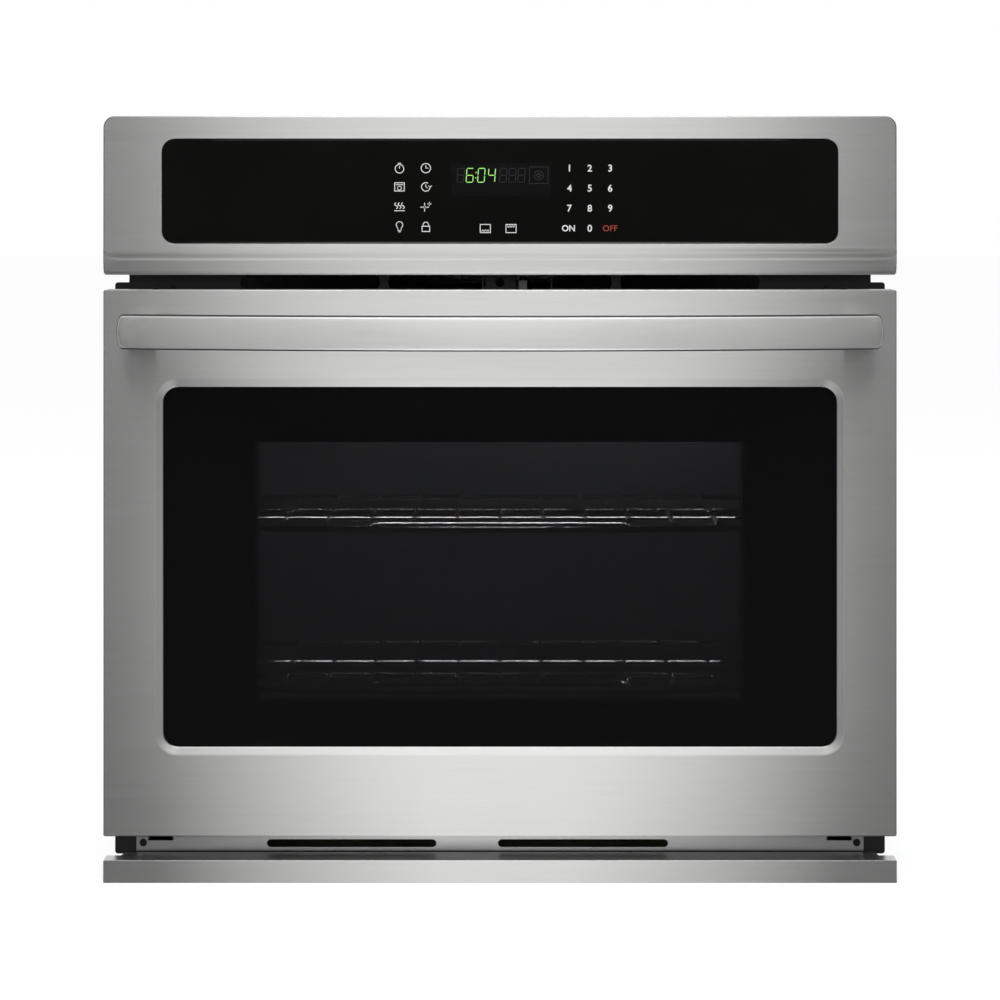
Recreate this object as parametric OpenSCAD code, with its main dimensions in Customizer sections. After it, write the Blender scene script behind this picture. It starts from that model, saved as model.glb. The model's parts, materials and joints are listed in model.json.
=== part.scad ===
// Built-in single wall oven, 30 inch class, as an assembly of separate pieces.
// Front is -Y, up is +Z. The origin is at the middle of the base of the whole oven.

/* [Front] */
// Width of the door, control panel and bottom trim
front_w = 762; // [736:1:790]
// Height of the bottom trim
trim_h = 22; // [18:1:26]
// Gap between the bottom trim and the door
sill_gap = 23; // [20:1:28]
// Height of the door
door_h = 524.6; // [490:0.1:560]
// Height of the air gap between the door and the control panel
air_gap = 14.4; // [12:0.1:18]
// Height of the control panel
panel_h = 152.6; // [140:0.1:165]
// Thickness of the stainless skins
skin = 1; // [0.8:0.1:1.2]

/* [Depth] */
// How far the door's face stands in front of the cabinet face
door_stand = 54; // [52:1:60]
// Thickness of the door, from its face to the back of its liner
door_t = 39.2; // [38:0.1:42]
// Depth of the chassis behind the cabinet face
body_d = 568; // [540:1:590]
// How far the handle reaches in front of the door's face
handle_reach = 75; // [68:1:85]

/* [Chassis] */
// Thickness of the chassis sheets
sheet = 1.2; // [1:0.1:1.6]
// Step from the front's side edge to the chassis's side
body_inset = 25.5; // [23:0.5:28]
// Step from the front's side edge to the mounting flange's edge
flange_inset = 6.1; // [4:0.1:8]
// Drop from the top of the control panel to the top of the chassis
top_drop = 32.6; // [28:0.1:38]
// Height of the rails that the chassis stands on
rail_h = 12; // [9:1:14]
// Width of one rail
rail_w = 30; // [24:1:40]
// Distance of each rail's outer face from the chassis's side
rail_inset = 40; // [30:1:60]
// Width of the rear flanges on the side panels
rear_flange_w = 18; // [14:1:24]
// Radius of the mounting screw holes in the front flange
mount_hole_r = 2.4; // [2:0.1:3]
// Distance of the mounting holes from the flange's edge
mount_hole_inset = 9.7; // [7:0.1:11]
// Height of the lower mounting holes above the cavity's floor
mount_hole_low = 58; // [40:1:80]
// Distance of the upper mounting holes below the cavity's ceiling
mount_hole_high = 47; // [30:1:60]

/* [Cavity] */
// Height of the cavity's floor above the door's bottom edge
floor_rise = 47; // [44:1:52]
// Drop from the door's top edge to the cavity's ceiling
ceiling_drop = 32.6; // [30:0.1:38]
// Width of the space between the cavity and the chassis's side
wall_zone = 50.5; // [48:0.5:56]
// Depth of the space between the cavity's back and the back of the oven
rear_zone = 85; // [78:1:95]
// Corner radius of the cavity
cavity_r = 16; // [10:1:22]
// Thickness of the insulation round the sides and under the cavity
side_insulation = 38; // [30:1:40]
// Thickness of the insulation over the cavity
top_insulation = 24; // [22:1:28]
// Thickness of the insulation behind the cavity
rear_insulation_t = 38; // [30:1:42]

/* [Rack guides and racks] */
// How far the rack guides stand out of the cavity's walls
guide_d = 12; // [10:0.5:14]
// Thickness of a rack guide
guide_t = 6; // [5:0.5:8]
// Height of the lowest rack position above the cavity's floor
first_rack_rise = 28; // [24:1:40]
// Distance between rack positions
rack_pitch = 53; // [48:1:56]
// Number of rack positions
rack_positions = 7; // [6:1:7]
// Diameter of the rack's frame wire
rack_frame_d = 6.4; // [6:0.1:7]
// Diameter of the rack's cross wires
rack_cross_d = 5.2; // [4.6:0.1:5.6]
// Diameter of the rack's thin bars
rack_bar_d = 4.2; // [3:0.1:5]
// Side clearance of a rack in the cavity
rack_side_gap = 3; // [2:0.5:5]
// Spacing of the rack's thin bars
rack_bar_pitch = 43; // [30:1:50]
// Distance of the rack's front wire behind the cabinet face
rack_front = 31; // [26:1:40]
// Bow of the rack's front wire
rack_bow = 22; // [12:1:26]
// Distance from the front wire to the hand wire
rack_hand_depth = 60; // [50:1:66]
// Width of the rack's hand gap
rack_hand_w = 260; // [180:1:300]
// Distance from the front wire to the first cross wire
rack_cross_1 = 131; // [110:1:160]
// Distance from the front wire to the second cross wire
rack_cross_2 = 235; // [200:1:280]
// Distance from the rack's back wire to the cavity's back wall
rack_back_gap = 47; // [30:1:60]

/* [Heating elements] */
// Diameter of the element tubes
element_d = 6.4; // [5:0.1:7]
// Distance between neighbouring element legs
leg_pitch = 72; // [60:1:74]
// Drop from the cavity's ceiling to the broil element
broil_drop = 32; // [26:1:40]
// Height of the bake element above the cavity's floor
bake_rise = 14; // [11:1:16]

/* [Hinges] */
// Height of the hinge axis above the door's bottom edge
hinge_rise = 15; // [13:0.5:18]
// Distance of the hinge axis behind the door's face
hinge_depth = 27; // [25:0.5:28]
// Radius of the hinge pins
pin_r = 4; // [3:0.1:4.5]
// Thickness of a hinge arm
arm_t = 8; // [6:0.5:9]
// Height of a hinge arm
arm_h = 14; // [12:0.5:16]
// Reach of the hinge arm behind the cabinet face
arm_reach = 46; // [40:1:56]
// Width of the hinge channels and receivers
channel_w = 22; // [20:0.5:24]
// Height of the hinge channels in the door
channel_h = 250; // [220:1:290]

/* [Door] */
// Step from the door's side edge to the glass opening
glass_side_inset = 57.5; // [50:0.5:66]
// Step from the door's bottom edge to the glass opening
glass_low_inset = 85.5; // [80:0.5:95]
// Step from the door's top edge to the glass opening
glass_high_inset = 93.1; // [88:0.1:100]
// Corner radius of the glass opening
glass_r = 14.5; // [10:0.5:18]
// Width of the pressed bevel round the glass opening
bevel_w = 7.5; // [5:0.5:9]
// Depth of the pressed bevel
bevel_d = 3.5; // [2.5:0.1:4]
// Thickness of each sheet of door glass
pane_t = 4; // [3:0.1:4.5]
// How far the door glass reaches behind the skin
pane_lap = 10; // [8:0.5:14]
// Step from the glass opening to the window in the liner, at the sides
window_side_inset = 84; // [70:1:100]
// Step from the glass opening to the window in the liner, top and bottom
window_end_inset = 42; // [36:1:50]
// How far the liner's plug stands towards the cavity
plug_d = 9.8; // [8:0.1:11]
// Width of the plug round the window
plug_w = 45; // [36:1:46]

/* [Handle] */
// Step from the front's side edge to the handle's end
handle_inset = 14; // [10:0.5:20]
// Drop from the door's top edge to the middle of the handle
handle_drop = 39.6; // [34:0.1:44]
// Height of the handle bar
handle_h = 33.5; // [28:0.5:38]
// Depth of the handle bar
handle_t = 18; // [14:0.5:19]
// How far the handle's ends stand in front of the door's face
handle_end_reach = 21; // [20:0.5:26]
// Length of each handle mount
handle_foot_w = 26; // [20:1:34]

/* [Control panel] */
// Step from the panel's side edge to the control glass
panel_side_inset = 57; // [50:0.5:64]
// Step from the panel's bottom edge to the control glass
panel_low_inset = 30.7; // [28:0.1:34]
// Step from the panel's top edge to the control glass
panel_high_inset = 21.1; // [18:0.1:26]
// Corner radius of the control glass
panel_glass_r = 11.5; // [8:0.5:14]
// Width of the display window
display_w = 98; // [80:1:120]
// Height of the display window
display_h = 32; // [26:1:38]
// Height of the display's middle above the control glass's bottom edge
display_rise = 60.6; // [54:0.1:66]
// Height of the recessed lip along the panel's bottom edge
lip_h = 19; // [16:0.5:22]

/* [Air duct and blower] */
// Height of the air duct
duct_h = 46; // [44:0.5:50]
// Width of the duct's mouth at the front
duct_w = 516; // [490:1:540]
// Height of a vent slot
slot_h = 19; // [16:0.5:20]
// Height of the vent slots' middle above the door's top edge
slot_rise = 6.2; // [5:0.1:8]
// Radius of the blower wheel
wheel_r = 70; // [60:1:76]
// Height of the blower wheel
wheel_h = 32; // [26:1:34]
// Number of blades on the blower wheel
wheel_blades = 24; // [16:1:32]
// Radius of the blower shaft
shaft_r = 3; // [2.5:0.1:4]

/* [Clearances] */
// Gap round a loose fit within one body
fit_gap = 0.2; // [0.1:0.05:0.4]
// Radial clearance of a shaft in its bore
run_gap = 0.05; // [0.03:0.01:0.09]
// Gap between pieces that move past each other
move_gap = 0.3; // [0.3:0.1:0.6]

/* [Hidden] */
$fn = 48;

// Heights
door_z0 = trim_h + sill_gap;
door_z1 = door_z0 + door_h;
panel_z0 = door_z1 + air_gap;
panel_z1 = panel_z0 + panel_h;
body_top = panel_z1 - top_drop;
cavity_z0 = door_z0 + floor_rise;
cavity_z1 = door_z1 - ceiling_drop;
duct_z0 = cavity_z1 + sheet + top_insulation;
duct_z1 = duct_z0 + duct_h;
slot_z = door_z1 + slot_rise;

// Widths
body_w = front_w - 2 * body_inset;
flange_w = front_w - 2 * flange_inset;
inside_w = body_w - 2 * sheet;
cavity_w = body_w - 2 * wall_zone;
rail_x = body_w / 2 - rail_inset - rail_w / 2;
hinge_x = (cavity_w + body_w) / 4;

// Depths, measured from the cabinet face
front_reach = door_stand + handle_reach;
face_y = front_reach - (front_reach + body_d) / 2;
door_y0 = -door_stand;
door_y1 = door_y0 + door_t;
frame_y0 = -sheet;
screw_head_h = 2;
cover_y0 = body_d - screw_head_h - sheet;
cavity_d = body_d - rear_zone;
liner_back = cavity_d + sheet;

// Hinge axis
hinge_y = door_y0 + hinge_depth;
hinge_z = door_z0 + hinge_rise;
hub_r = 9;

// Screws
screw_r = 1.9;
screw_head_r = 3.6;
screw_hole_r = screw_r + fit_gap;
screw_len = 7;

// ---- Helpers ----

// Places what is measured from the cabinet face.
module at_face() {
    translate([0, face_y, 0]) children();
}

module slab(x0, x1, y0, y1, z0, z1) {
    translate([x0, y0, z0]) cube([x1 - x0, y1 - y0, z1 - z0]);
}

module wide(w, y0, y1, z0, z1) {
    slab(-w / 2, w / 2, y0, y1, z0, z1);
}

// An outline in X and Z, thickened along Y.
module upright(y0, y1) {
    translate([0, y1, 0]) rotate([90, 0, 0]) linear_extrude(y1 - y0) children();
}

// An outline in X and Y, thickened along Z.
module level(z0, z1) {
    translate([0, 0, z0]) linear_extrude(z1 - z0) children();
}

// An outline in Y and Z, thickened along X.
module sideways(x0, x1) {
    translate([x0, 0, 0]) rotate([90, 0, 90]) linear_extrude(x1 - x0) children();
}

module both_sides() {
    children();
    mirror([1, 0, 0]) children();
}

module rect(x0, x1, z0, z1) {
    translate([x0, z0]) square([x1 - x0, z1 - z0]);
}

module round_rect(x0, x1, z0, z1, r) {
    rect(x0 + r, x1 - r, z0, z1);
    rect(x0, x1, z0 + r, z1 - r);
    for (x = [x0 + r, x1 - r], z = [z0 + r, z1 - r])
        translate([x, z]) circle(r);
}

// A slot with round ends, given by its two outer ends and its middle height.
module slot(x0, x1, z, h) {
    rect(x0 + h / 2, x1 - h / 2, z - h / 2, z + h / 2);
    for (x = [x0 + h / 2, x1 - h / 2])
        translate([x, z]) circle(h / 2);
}

module rod_x(x0, x1, y, z, r) {
    translate([x0, y, z]) rotate([0, 90, 0]) cylinder(r = r, h = x1 - x0);
}

module rod_y(x, y0, y1, z, r) {
    translate([x, y0, z]) rotate([-90, 0, 0]) cylinder(r = r, h = y1 - y0);
}

module rod_z(x, y, z0, z1, r) {
    translate([x, y, z0]) cylinder(r = r, h = z1 - z0);
}

// Sweeps a section round a rounded rectangle in X and Z. The section's x runs outwards
// from the outline, and its y runs towards the front.
module frame_sweep(x0, x1, z0, z1, r) {
    w = x1 - x0;
    h = z1 - z0;
    translate([(x0 + x1) / 2, 0, (z0 + z1) / 2]) rotate([90, 0, 0]) {
        for (q = [0:3]) {
            a = q % 2 == 0 ? w : h;
            b = q % 2 == 0 ? h : w;
            rotate([0, 0, 90 * q]) {
                translate([a / 2 - r, b / 2 - r, 0]) rotate_extrude(angle = 90)
                    translate([r, 0]) children();
                translate([a / 2, b / 2 - r, 0]) rotate([90, 0, 0])
                    linear_extrude(b - 2 * r) children();
            }
        }
    }
}

// A pan head screw along Y. Its head stands on y and its thread runs to the back or front.
module screw_y(x, y, z, way) {
    translate([x, y, z]) rotate([way * -90, 0, 0]) {
        translate([0, 0, -screw_head_h]) cylinder(r = screw_head_r, h = screw_head_h);
        cylinder(r = screw_r, h = screw_len);
    }
}

// ---- Chassis ----

module chassis_rails() {
    rail_y0 = 6;
    wall = 1.5;
    color("gainsboro") at_face() both_sides() difference() {
        slab(rail_x - rail_w / 2, rail_x + rail_w / 2, rail_y0, cover_y0 - rail_y0, 0, rail_h);
        slab(rail_x - rail_w / 2 + wall, rail_x + rail_w / 2 - wall,
            rail_y0 - 1, cover_y0, wall, rail_h - wall);
    }
}

// Vent slots in a level or upright sheet: count slots of one length, side by side.
module slot_row(count, pitch, length, h, z) {
    for (i = [0:count - 1]) {
        x = (i - (count - 1) / 2) * pitch;
        slot(x - length / 2, x + length / 2, z, h);
    }
}

module base_pan() {
    intake_y = 150;
    color("silver") at_face() difference() {
        wide(inside_w, 0, cover_y0 - sheet, rail_h, rail_h + sheet);
        level(rail_h - 1, rail_h + sheet + 1)
            for (y = [intake_y, intake_y + 40]) slot_row(4, 120, 90, 10, y);
    }
}

module side_panel() {
    color("silver") difference() {
        level(rail_h, body_top - sheet) {
            rect(body_w / 2 - sheet, body_w / 2, 0, cover_y0);
            rect(body_w / 2 - rear_flange_w, body_w / 2, cover_y0 - sheet, cover_y0);
        }
        for (z = back_screw_heights)
            rod_y(back_screw_x, cover_y0 - sheet - 1, cover_y0 + 1, z, screw_hole_r);
    }
}

back_screw_x = body_w / 2 - rear_flange_w / 2;
back_screw_edge = 40;
back_screw_heights = [for (i = [0:3])
    rail_h + back_screw_edge + i * (body_top - rail_h - 2 * back_screw_edge) / 3];

module side_panels() {
    at_face() both_sides() side_panel();
}

conduit_r = 11.1;
conduit_plate_w = 60;
conduit_plate_t = 1.5;
conduit_x = body_w / 2 - 205.5;
conduit_z = duct_z1 + 42;

module back_cover() {
    louvre_z = rail_h + 90;
    color("silver") at_face() difference() {
        wide(body_w, cover_y0, cover_y0 + sheet, rail_h, body_top - sheet);
        both_sides() for (z = back_screw_heights)
            rod_y(back_screw_x, cover_y0 - 1, cover_y0 + sheet + 1, z, screw_hole_r);
        upright(cover_y0 - 1, cover_y0 + sheet + 1)
            for (i = [0:3]) slot_row(4, 130, 100, 6, louvre_z + i * 22);
        rod_y(conduit_x, cover_y0 - 1, cover_y0 + sheet + 1, conduit_z, conduit_r + 5);
    }
}

module top_cover() {
    color("silver") at_face() difference() {
        wide(body_w, 0, cover_y0 + sheet, body_top - sheet, body_top);
        level(body_top - sheet - 1, body_top + 1)
            for (i = [0:2]) slot_row(4, 60, 40, 6, blower_y - 20 + i * 20);
    }
}

frame_z0 = trim_h - 2.6;
frame_z1 = door_z1 + 6.3;
mount_hole_x = flange_w / 2 - mount_hole_inset;
mount_holes_z = [cavity_z0 + mount_hole_low, cavity_z1 - mount_hole_high];
hinge_slot_w = channel_w + 2.4;
hinge_slot_z0 = door_z0 - 12.6;
hinge_slot_z1 = hinge_z + hub_r + 6;
low_air_w = body_w - 110;
rail_screw_x = body_w / 2 - 8.2;
rail_screw_z = trim_h + 8.3;
vent_screw_x = duct_w / 2 + 60;
vent_screw_z = frame_z1 - 6;

module front_frame() {
    color([0.08, 0.08, 0.08]) at_face() difference() {
        upright(frame_y0, 0)
            round_rect(-flange_w / 2, flange_w / 2, frame_z0, frame_z1, 3);
        upright(frame_y0 - 1, 1)
            round_rect(-cavity_w / 2, cavity_w / 2, cavity_z0, cavity_z1, cavity_r);
        wide(duct_w, frame_y0 - 1, 1, duct_z0, frame_z1 + 1);
        wide(low_air_w, frame_y0 - 1, 1, frame_z0 + 6, door_z0 + 6);
        both_sides() {
            slab(hinge_x - hinge_slot_w / 2, hinge_x + hinge_slot_w / 2,
                frame_y0 - 1, 1, hinge_slot_z0, hinge_slot_z1);
            for (z = mount_holes_z)
                rod_y(mount_hole_x, frame_y0 - 1, 1, z, mount_hole_r);
            rod_y(rail_screw_x, frame_y0 - 1, 1, rail_screw_z, screw_hole_r);
            rod_y(vent_screw_x, frame_y0 - 1, 1, vent_screw_z, screw_hole_r);
        }
        rod_y(switch_x, frame_y0 - 1, 1, switch_z, plunger_r + move_gap);
    }
}

module control_bulkhead() {
    color("silver") at_face() difference() {
        wide(body_w, frame_y0, 0, frame_z1, body_top);
        wide(duct_w, frame_y0 - 1, 1, frame_z1 - 1, duct_z1);
        upright(frame_y0 - 1, 1) slot(-120, -60, body_top - 30, 24);
        upright(frame_y0 - 1, 1) slot(60, 120, body_top - 30, 24);
    }
}

// Ends of the slots, as shares of the front's width
rail_slots = [[-0.2979, -0.0814], [-0.0026, 0.2147]];
trim_slots = [[-0.332, -0.1535], [-0.143, -0.0178], [0.0205, 0.143], [0.1535, 0.332]];
trim_inset = 20;

module lower_rail() {
    slot_drop = 7.7;
    slot_size = 7.6;
    rail_w_front = body_w - 3;
    color("lightgray") at_face() difference() {
        wide(rail_w_front, frame_y0 - skin, frame_y0, trim_h + 0.5, door_z0 + 14);
        upright(frame_y0 - skin - 1, frame_y0 + 1) {
            for (s = rail_slots) slot(s[0] * front_w, s[1] * front_w, trim_h + slot_drop, slot_size);
        }
        both_sides() {
            slab(hinge_x - hinge_slot_w / 2, hinge_x + hinge_slot_w / 2,
                frame_y0 - skin - 1, frame_y0 + 1, hinge_slot_z0, door_z0 + 20);
            rod_y(rail_screw_x, frame_y0 - skin - 1, frame_y0 + 1, rail_screw_z, screw_hole_r);
        }
    }
}

ledge_end_w = 14;
ledge_end_d = 28;

module bottom_trim() {
    lip_d = 14;
    ledge_y1 = frame_y0 - skin;
    half = front_w / 2;
    color("lightgray") at_face() difference() {
        union() {
            wide(front_w, door_y0, door_y0 + skin, 0, trim_h);
            wide(front_w, door_y0, ledge_y1, trim_h - skin, trim_h);
            wide(front_w, door_y0, door_y0 + lip_d, 0, skin);
            both_sides() slab(half - skin, half, door_y0, door_y0 + ledge_end_d, 0, trim_h);
        }
        both_sides() slab(half - ledge_end_w, half + 1, door_y0 + ledge_end_d, 0, -1, trim_h + 1);
    }
}

module vent_trim() {
    trim_w = front_w - 2 * trim_inset;
    color([0.1, 0.1, 0.1]) at_face() difference() {
        wide(trim_w, frame_y0 - sheet, frame_y0, duct_z0 - 6, panel_z0 + 16);
        upright(frame_y0 - sheet - 1, frame_y0 + 1) {
            for (s = trim_slots) slot(s[0] * front_w, s[1] * front_w, slot_z, slot_h);
            translate([0, slot_z]) circle(4.5);
        }
        both_sides() rod_y(vent_screw_x, frame_y0 - sheet - 1, frame_y0 + 1,
            vent_screw_z, screw_hole_r);
        rod_y(switch_x, frame_y0 - sheet - 1, frame_y0 + 1, switch_z, plunger_r + move_gap);
    }
}

module chassis_screws() {
    color("gray") at_face() both_sides() {
        for (z = back_screw_heights) screw_y(back_screw_x, cover_y0 + sheet, z, -1);
        screw_y(rail_screw_x, frame_y0 - skin, rail_screw_z, 1);
        screw_y(vent_screw_x, frame_y0 - sheet, vent_screw_z, 1);
    }
}

// ---- Cavity ----

rack_level = [for (i = [0:rack_positions - 1]) cavity_z0 + first_rack_rise + i * rack_pitch];
lower_rack_z = rack_level[1];
upper_rack_z = rack_level[4];
guide_drop = rack_frame_d / 2 + move_gap;
lamp_x = -cavity_w / 2 + 105;
lamp_z = cavity_z1 - 66;
lamp_hole_r = 16;
sensor_x = cavity_w / 2 - 105;
sensor_z = cavity_z1 - 70;
vent_x = 120;
vent_y = 210;
vent_bore_r = 14;
vent_tube_r = 17;
broil_z = cavity_z1 - broil_drop;
bake_z = cavity_z0 + bake_rise;
element_hole_r = element_d / 2 + 1;

module rack_guide(z) {
    guide_y0 = 14;
    guide_y1 = cavity_d - 20;
    top = z - guide_drop;
    slab(cavity_w / 2 - guide_d + guide_t / 2, cavity_w / 2, guide_y0, guide_y1,
        top - guide_t, top);
    rod_y(cavity_w / 2 - guide_d + guide_t / 2, guide_y0, guide_y1, top - guide_t / 2, guide_t / 2);
}

module cavity_liner() {
    color([0.16, 0.17, 0.19]) at_face() {
        difference() {
            upright(0, liner_back)
                round_rect(-cavity_w / 2 - sheet, cavity_w / 2 + sheet, cavity_z0 - sheet,
                    cavity_z1 + sheet, cavity_r + sheet);
            upright(-1, cavity_d)
                round_rect(-cavity_w / 2, cavity_w / 2, cavity_z0, cavity_z1, cavity_r);
            rod_y(lamp_x, cavity_d - 1, liner_back + 1, lamp_z, lamp_hole_r);
            rod_y(sensor_x, cavity_d - 1, liner_back + 1, sensor_z, 4);
            rod_z(vent_x, vent_y, cavity_z1 - 1, cavity_z1 + sheet + 1, vent_bore_r);
            for (x = [-leg_pitch / 2, leg_pitch / 2], z = [broil_z, bake_z])
                rod_y(x, cavity_d - 1, liner_back + 1, z, element_hole_r);
        }
        both_sides() for (z = rack_level) rack_guide(z);
    }
}

switch_x = -duct_w / 2 - 42;
switch_z = door_z1 - 6.6;
switch_w = 20;
switch_h = 16;
switch_d = 28;
plunger_r = 3;

module insulation_wrap() {
    outer_x = cavity_w / 2 + sheet + side_insulation;
    outer_z0 = cavity_z0 - sheet - side_insulation;
    receiver_d = arm_reach + 26;
    difference() {
        upright(2, liner_back)
            round_rect(-outer_x, outer_x, outer_z0, duct_z0, 12);
        upright(1, liner_back + 1)
            round_rect(-cavity_w / 2 - sheet, cavity_w / 2 + sheet, cavity_z0 - sheet,
                cavity_z1 + sheet, cavity_r + sheet);
        both_sides() slab(hinge_x - channel_w / 2 - 2, outer_x + 1,
            0, receiver_d, outer_z0 - 1, hinge_slot_z1 + 4);
        slab(switch_x - switch_w / 2 - 1, switch_x + switch_w / 2 + 1, 0, switch_d + 2,
            switch_z - switch_h / 2 - 1, duct_z0 + 1);
        rod_z(vent_x, vent_y, cavity_z1, duct_z0 + 1, vent_tube_r + 1);
    }
}

module insulation_pad() {
    half = cavity_w / 2 - 4;
    y1 = liner_back + rear_insulation_t;
    difference() {
        upright(liner_back, y1)
            round_rect(-half, half, cavity_z0 + 4, cavity_z1 - 4, 20);
        rod_y(lamp_x, liner_back - 1, y1 + 1, lamp_z, lamp_can_r + 1);
        rod_y(sensor_x, liner_back - 1, y1 + 1, sensor_z, 6);
        for (z = [broil_z, bake_z])
            upright(liner_back - 1, y1 + 1)
                slot(-leg_pitch / 2 - 10, leg_pitch / 2 + 10, z, 20);
    }
}

module oven_insulation() {
    color([0.85, 0.78, 0.5]) at_face() {
        insulation_wrap();
        insulation_pad();
    }
}

gasket_out = 12;
gasket_r = 6;

module door_gasket() {
    x = cavity_w / 2 + gasket_out;
    stand = -door_y1 - sheet - move_gap;
    color([0.13, 0.13, 0.13]) at_face() translate([0, frame_y0, 0])
        frame_sweep(-x, x, cavity_z0 - gasket_out, cavity_z1 + gasket_out, cavity_r + gasket_out) {
            union() {
                translate([-gasket_r, 0]) square([2 * gasket_r, stand - gasket_r]);
                translate([0, stand - gasket_r]) circle(gasket_r);
            }
        }
}

// ---- Heating elements, lamp and sensor ----

element_back = cavity_d + rear_insulation_t + 8;

// A half turn of element tube that joins the legs at x and x + leg_pitch.
module element_turn(x, y, z, front) {
    translate([x + leg_pitch / 2, y, z]) rotate([0, 0, front ? 180 : 0])
        rotate_extrude(angle = 180) translate([leg_pitch / 2, 0]) circle(d = element_d);
}

module element_path(z) {
    r = element_d / 2;
    corner = 24;
    turn = leg_pitch / 2;
    front_y = 62;
    turn_front = front_y + 2 * turn + 12;
    turn_back = cavity_d - 40 - turn;
    x1 = leg_pitch / 2;
    x2 = x1 + leg_pitch;
    x3 = x2 + leg_pitch;
    both_sides() {
        rod_y(x1, turn_front, element_back, z, r);
        element_turn(x1, turn_front, z, true);
        rod_y(x2, turn_front, turn_back, z, r);
        element_turn(x2, turn_back, z, false);
        rod_y(x3, front_y + corner, turn_back, z, r);
        translate([x3 - corner, front_y + corner, z]) rotate([0, 0, -90])
            rotate_extrude(angle = 90) translate([corner, 0]) circle(r);
    }
    rod_x(-x3 + corner, x3 - corner, front_y, z, r);
}

module element_flange(z) {
    upright(cavity_d - sheet, cavity_d)
        slot(-leg_pitch / 2 - 18, leg_pitch / 2 + 18, z, 22);
}

module broil_element() {
    color([0.2, 0.19, 0.18]) at_face() {
        element_path(broil_z);
        element_flange(broil_z);
    }
}

module bake_element() {
    color([0.2, 0.19, 0.18]) at_face() {
        element_path(bake_z);
        element_flange(bake_z);
    }
}

// Rings that hold an element leg, with a stem to the ceiling or the floor.
module clip_set(z, end_z, x_list, y_list) {
    inner = element_d / 2 + fit_gap;
    outer = inner + 1.6;
    w = 8;
    for (x = x_list, y = y_list) difference() {
        union() {
            rod_y(x, y - w / 2, y + w / 2, z, outer);
            slab(x - 1.5, x + 1.5, y - w / 2, y + w / 2, min(z, end_z), max(z, end_z));
        }
        rod_y(x, y - w, y + w, z, inner);
    }
}

clip_legs = [-2.5 * leg_pitch, 2.5 * leg_pitch];
clip_places = [cavity_d * 0.31, cavity_d * 0.75];

module element_clips() {
    color("silver") at_face() {
        clip_set(broil_z, cavity_z1, clip_legs, clip_places);
        clip_set(bake_z, cavity_z0, clip_legs, clip_places);
    }
}

lamp_can_r = 22;
socket_r = 14;
lamp_base_r = 9;

module lamp_holder() {
    can_back = liner_back + rear_insulation_t + 4;
    color("silver") at_face() difference() {
        rod_y(lamp_x, liner_back, can_back, lamp_z, lamp_can_r);
        rod_y(lamp_x, liner_back - 1, liner_back + 10, lamp_z, lamp_can_r - sheet);
        difference() {
            rod_y(lamp_x, liner_back + 9, can_back - 3, lamp_z, lamp_can_r - sheet);
            rod_y(lamp_x, liner_back + 9, can_back - 2, lamp_z, socket_r);
        }
        rod_y(lamp_x, liner_back, can_back - 6, lamp_z, lamp_base_r + fit_gap);
    }
}

module lamp_bulb() {
    bulb_r = 12;
    bulb_y = cavity_d - 13;
    color([0.95, 0.92, 0.85]) at_face() {
        translate([lamp_x, bulb_y, lamp_z]) sphere(bulb_r);
        rod_y(lamp_x, bulb_y, liner_back + rear_insulation_t - 2 - fit_gap, lamp_z, lamp_base_r);
    }
}

module lamp_lens() {
    wall = 2.5;
    dome = 30;
    color([0.9, 0.92, 0.95, 0.5]) at_face() difference() {
        union() {
            rod_y(lamp_x, cavity_d - dome, cavity_d, lamp_z, lamp_can_r);
            rod_y(lamp_x, cavity_d - 4, cavity_d, lamp_z, lamp_can_r + 5);
        }
        rod_y(lamp_x, cavity_d - dome + wall, cavity_d + 1, lamp_z, lamp_can_r - wall);
    }
}

module temperature_sensor() {
    probe = 105;
    plate_w = 44;
    color("silver") at_face() {
        rod_y(sensor_x, cavity_d - probe, liner_back + rear_insulation_t, sensor_z, 3);
        upright(cavity_d - sheet, cavity_d)
            slot(sensor_x - plate_w / 2, sensor_x + plate_w / 2, sensor_z, 16);
    }
}

module vent_tube() {
    color("silver") at_face() difference() {
        rod_z(vent_x, vent_y, cavity_z1 + sheet, duct_z0, vent_tube_r);
        rod_z(vent_x, vent_y, cavity_z1, duct_z0 + 1, vent_bore_r);
    }
}

// ---- Cooling air ----

blower_wall_r = wheel_r + 22;
blower_y = cavity_d - 36;
duct_back = blower_y - blower_wall_r - 20;
inlet_r = wheel_r - 10;
wheel_z0 = duct_z0 + 7;
wheel_z1 = wheel_z0 + wheel_h;
motor_z0 = duct_z1 + 16;
motor_h = 38;
motor_r = 34;

module duct_outline(inset) {
    front = duct_w / 2 - fit_gap - inset;
    back = blower_wall_r - inset;
    polygon([[-front, frame_y0], [front, frame_y0], [back, duct_back], [-back, duct_back]]);
}

module air_duct() {
    color("silver") at_face() difference() {
        level(duct_z0, duct_z1) duct_outline(0);
        difference() {
            level(duct_z0 + sheet, duct_z1 - sheet) duct_outline(sheet);
            wide(duct_w, frame_y0 - 1, frame_y0, duct_z0, duct_z1);
        }
        rod_z(vent_x, vent_y, duct_z0 - 1, duct_z0 + sheet + 1, vent_bore_r);
    }
}

module blower_outline(inset) {
    r = blower_wall_r - inset;
    translate([0, blower_y]) circle(r);
    rect(-r, r, duct_back, blower_y);
}

module blower_housing() {
    color("silver") at_face() difference() {
        level(duct_z0, duct_z1) blower_outline(0);
        level(duct_z0 + sheet, duct_z1 - sheet) blower_outline(sheet);
        rod_z(0, blower_y, duct_z1 - sheet - 1, duct_z1 + 1, inlet_r);
    }
}

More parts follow.
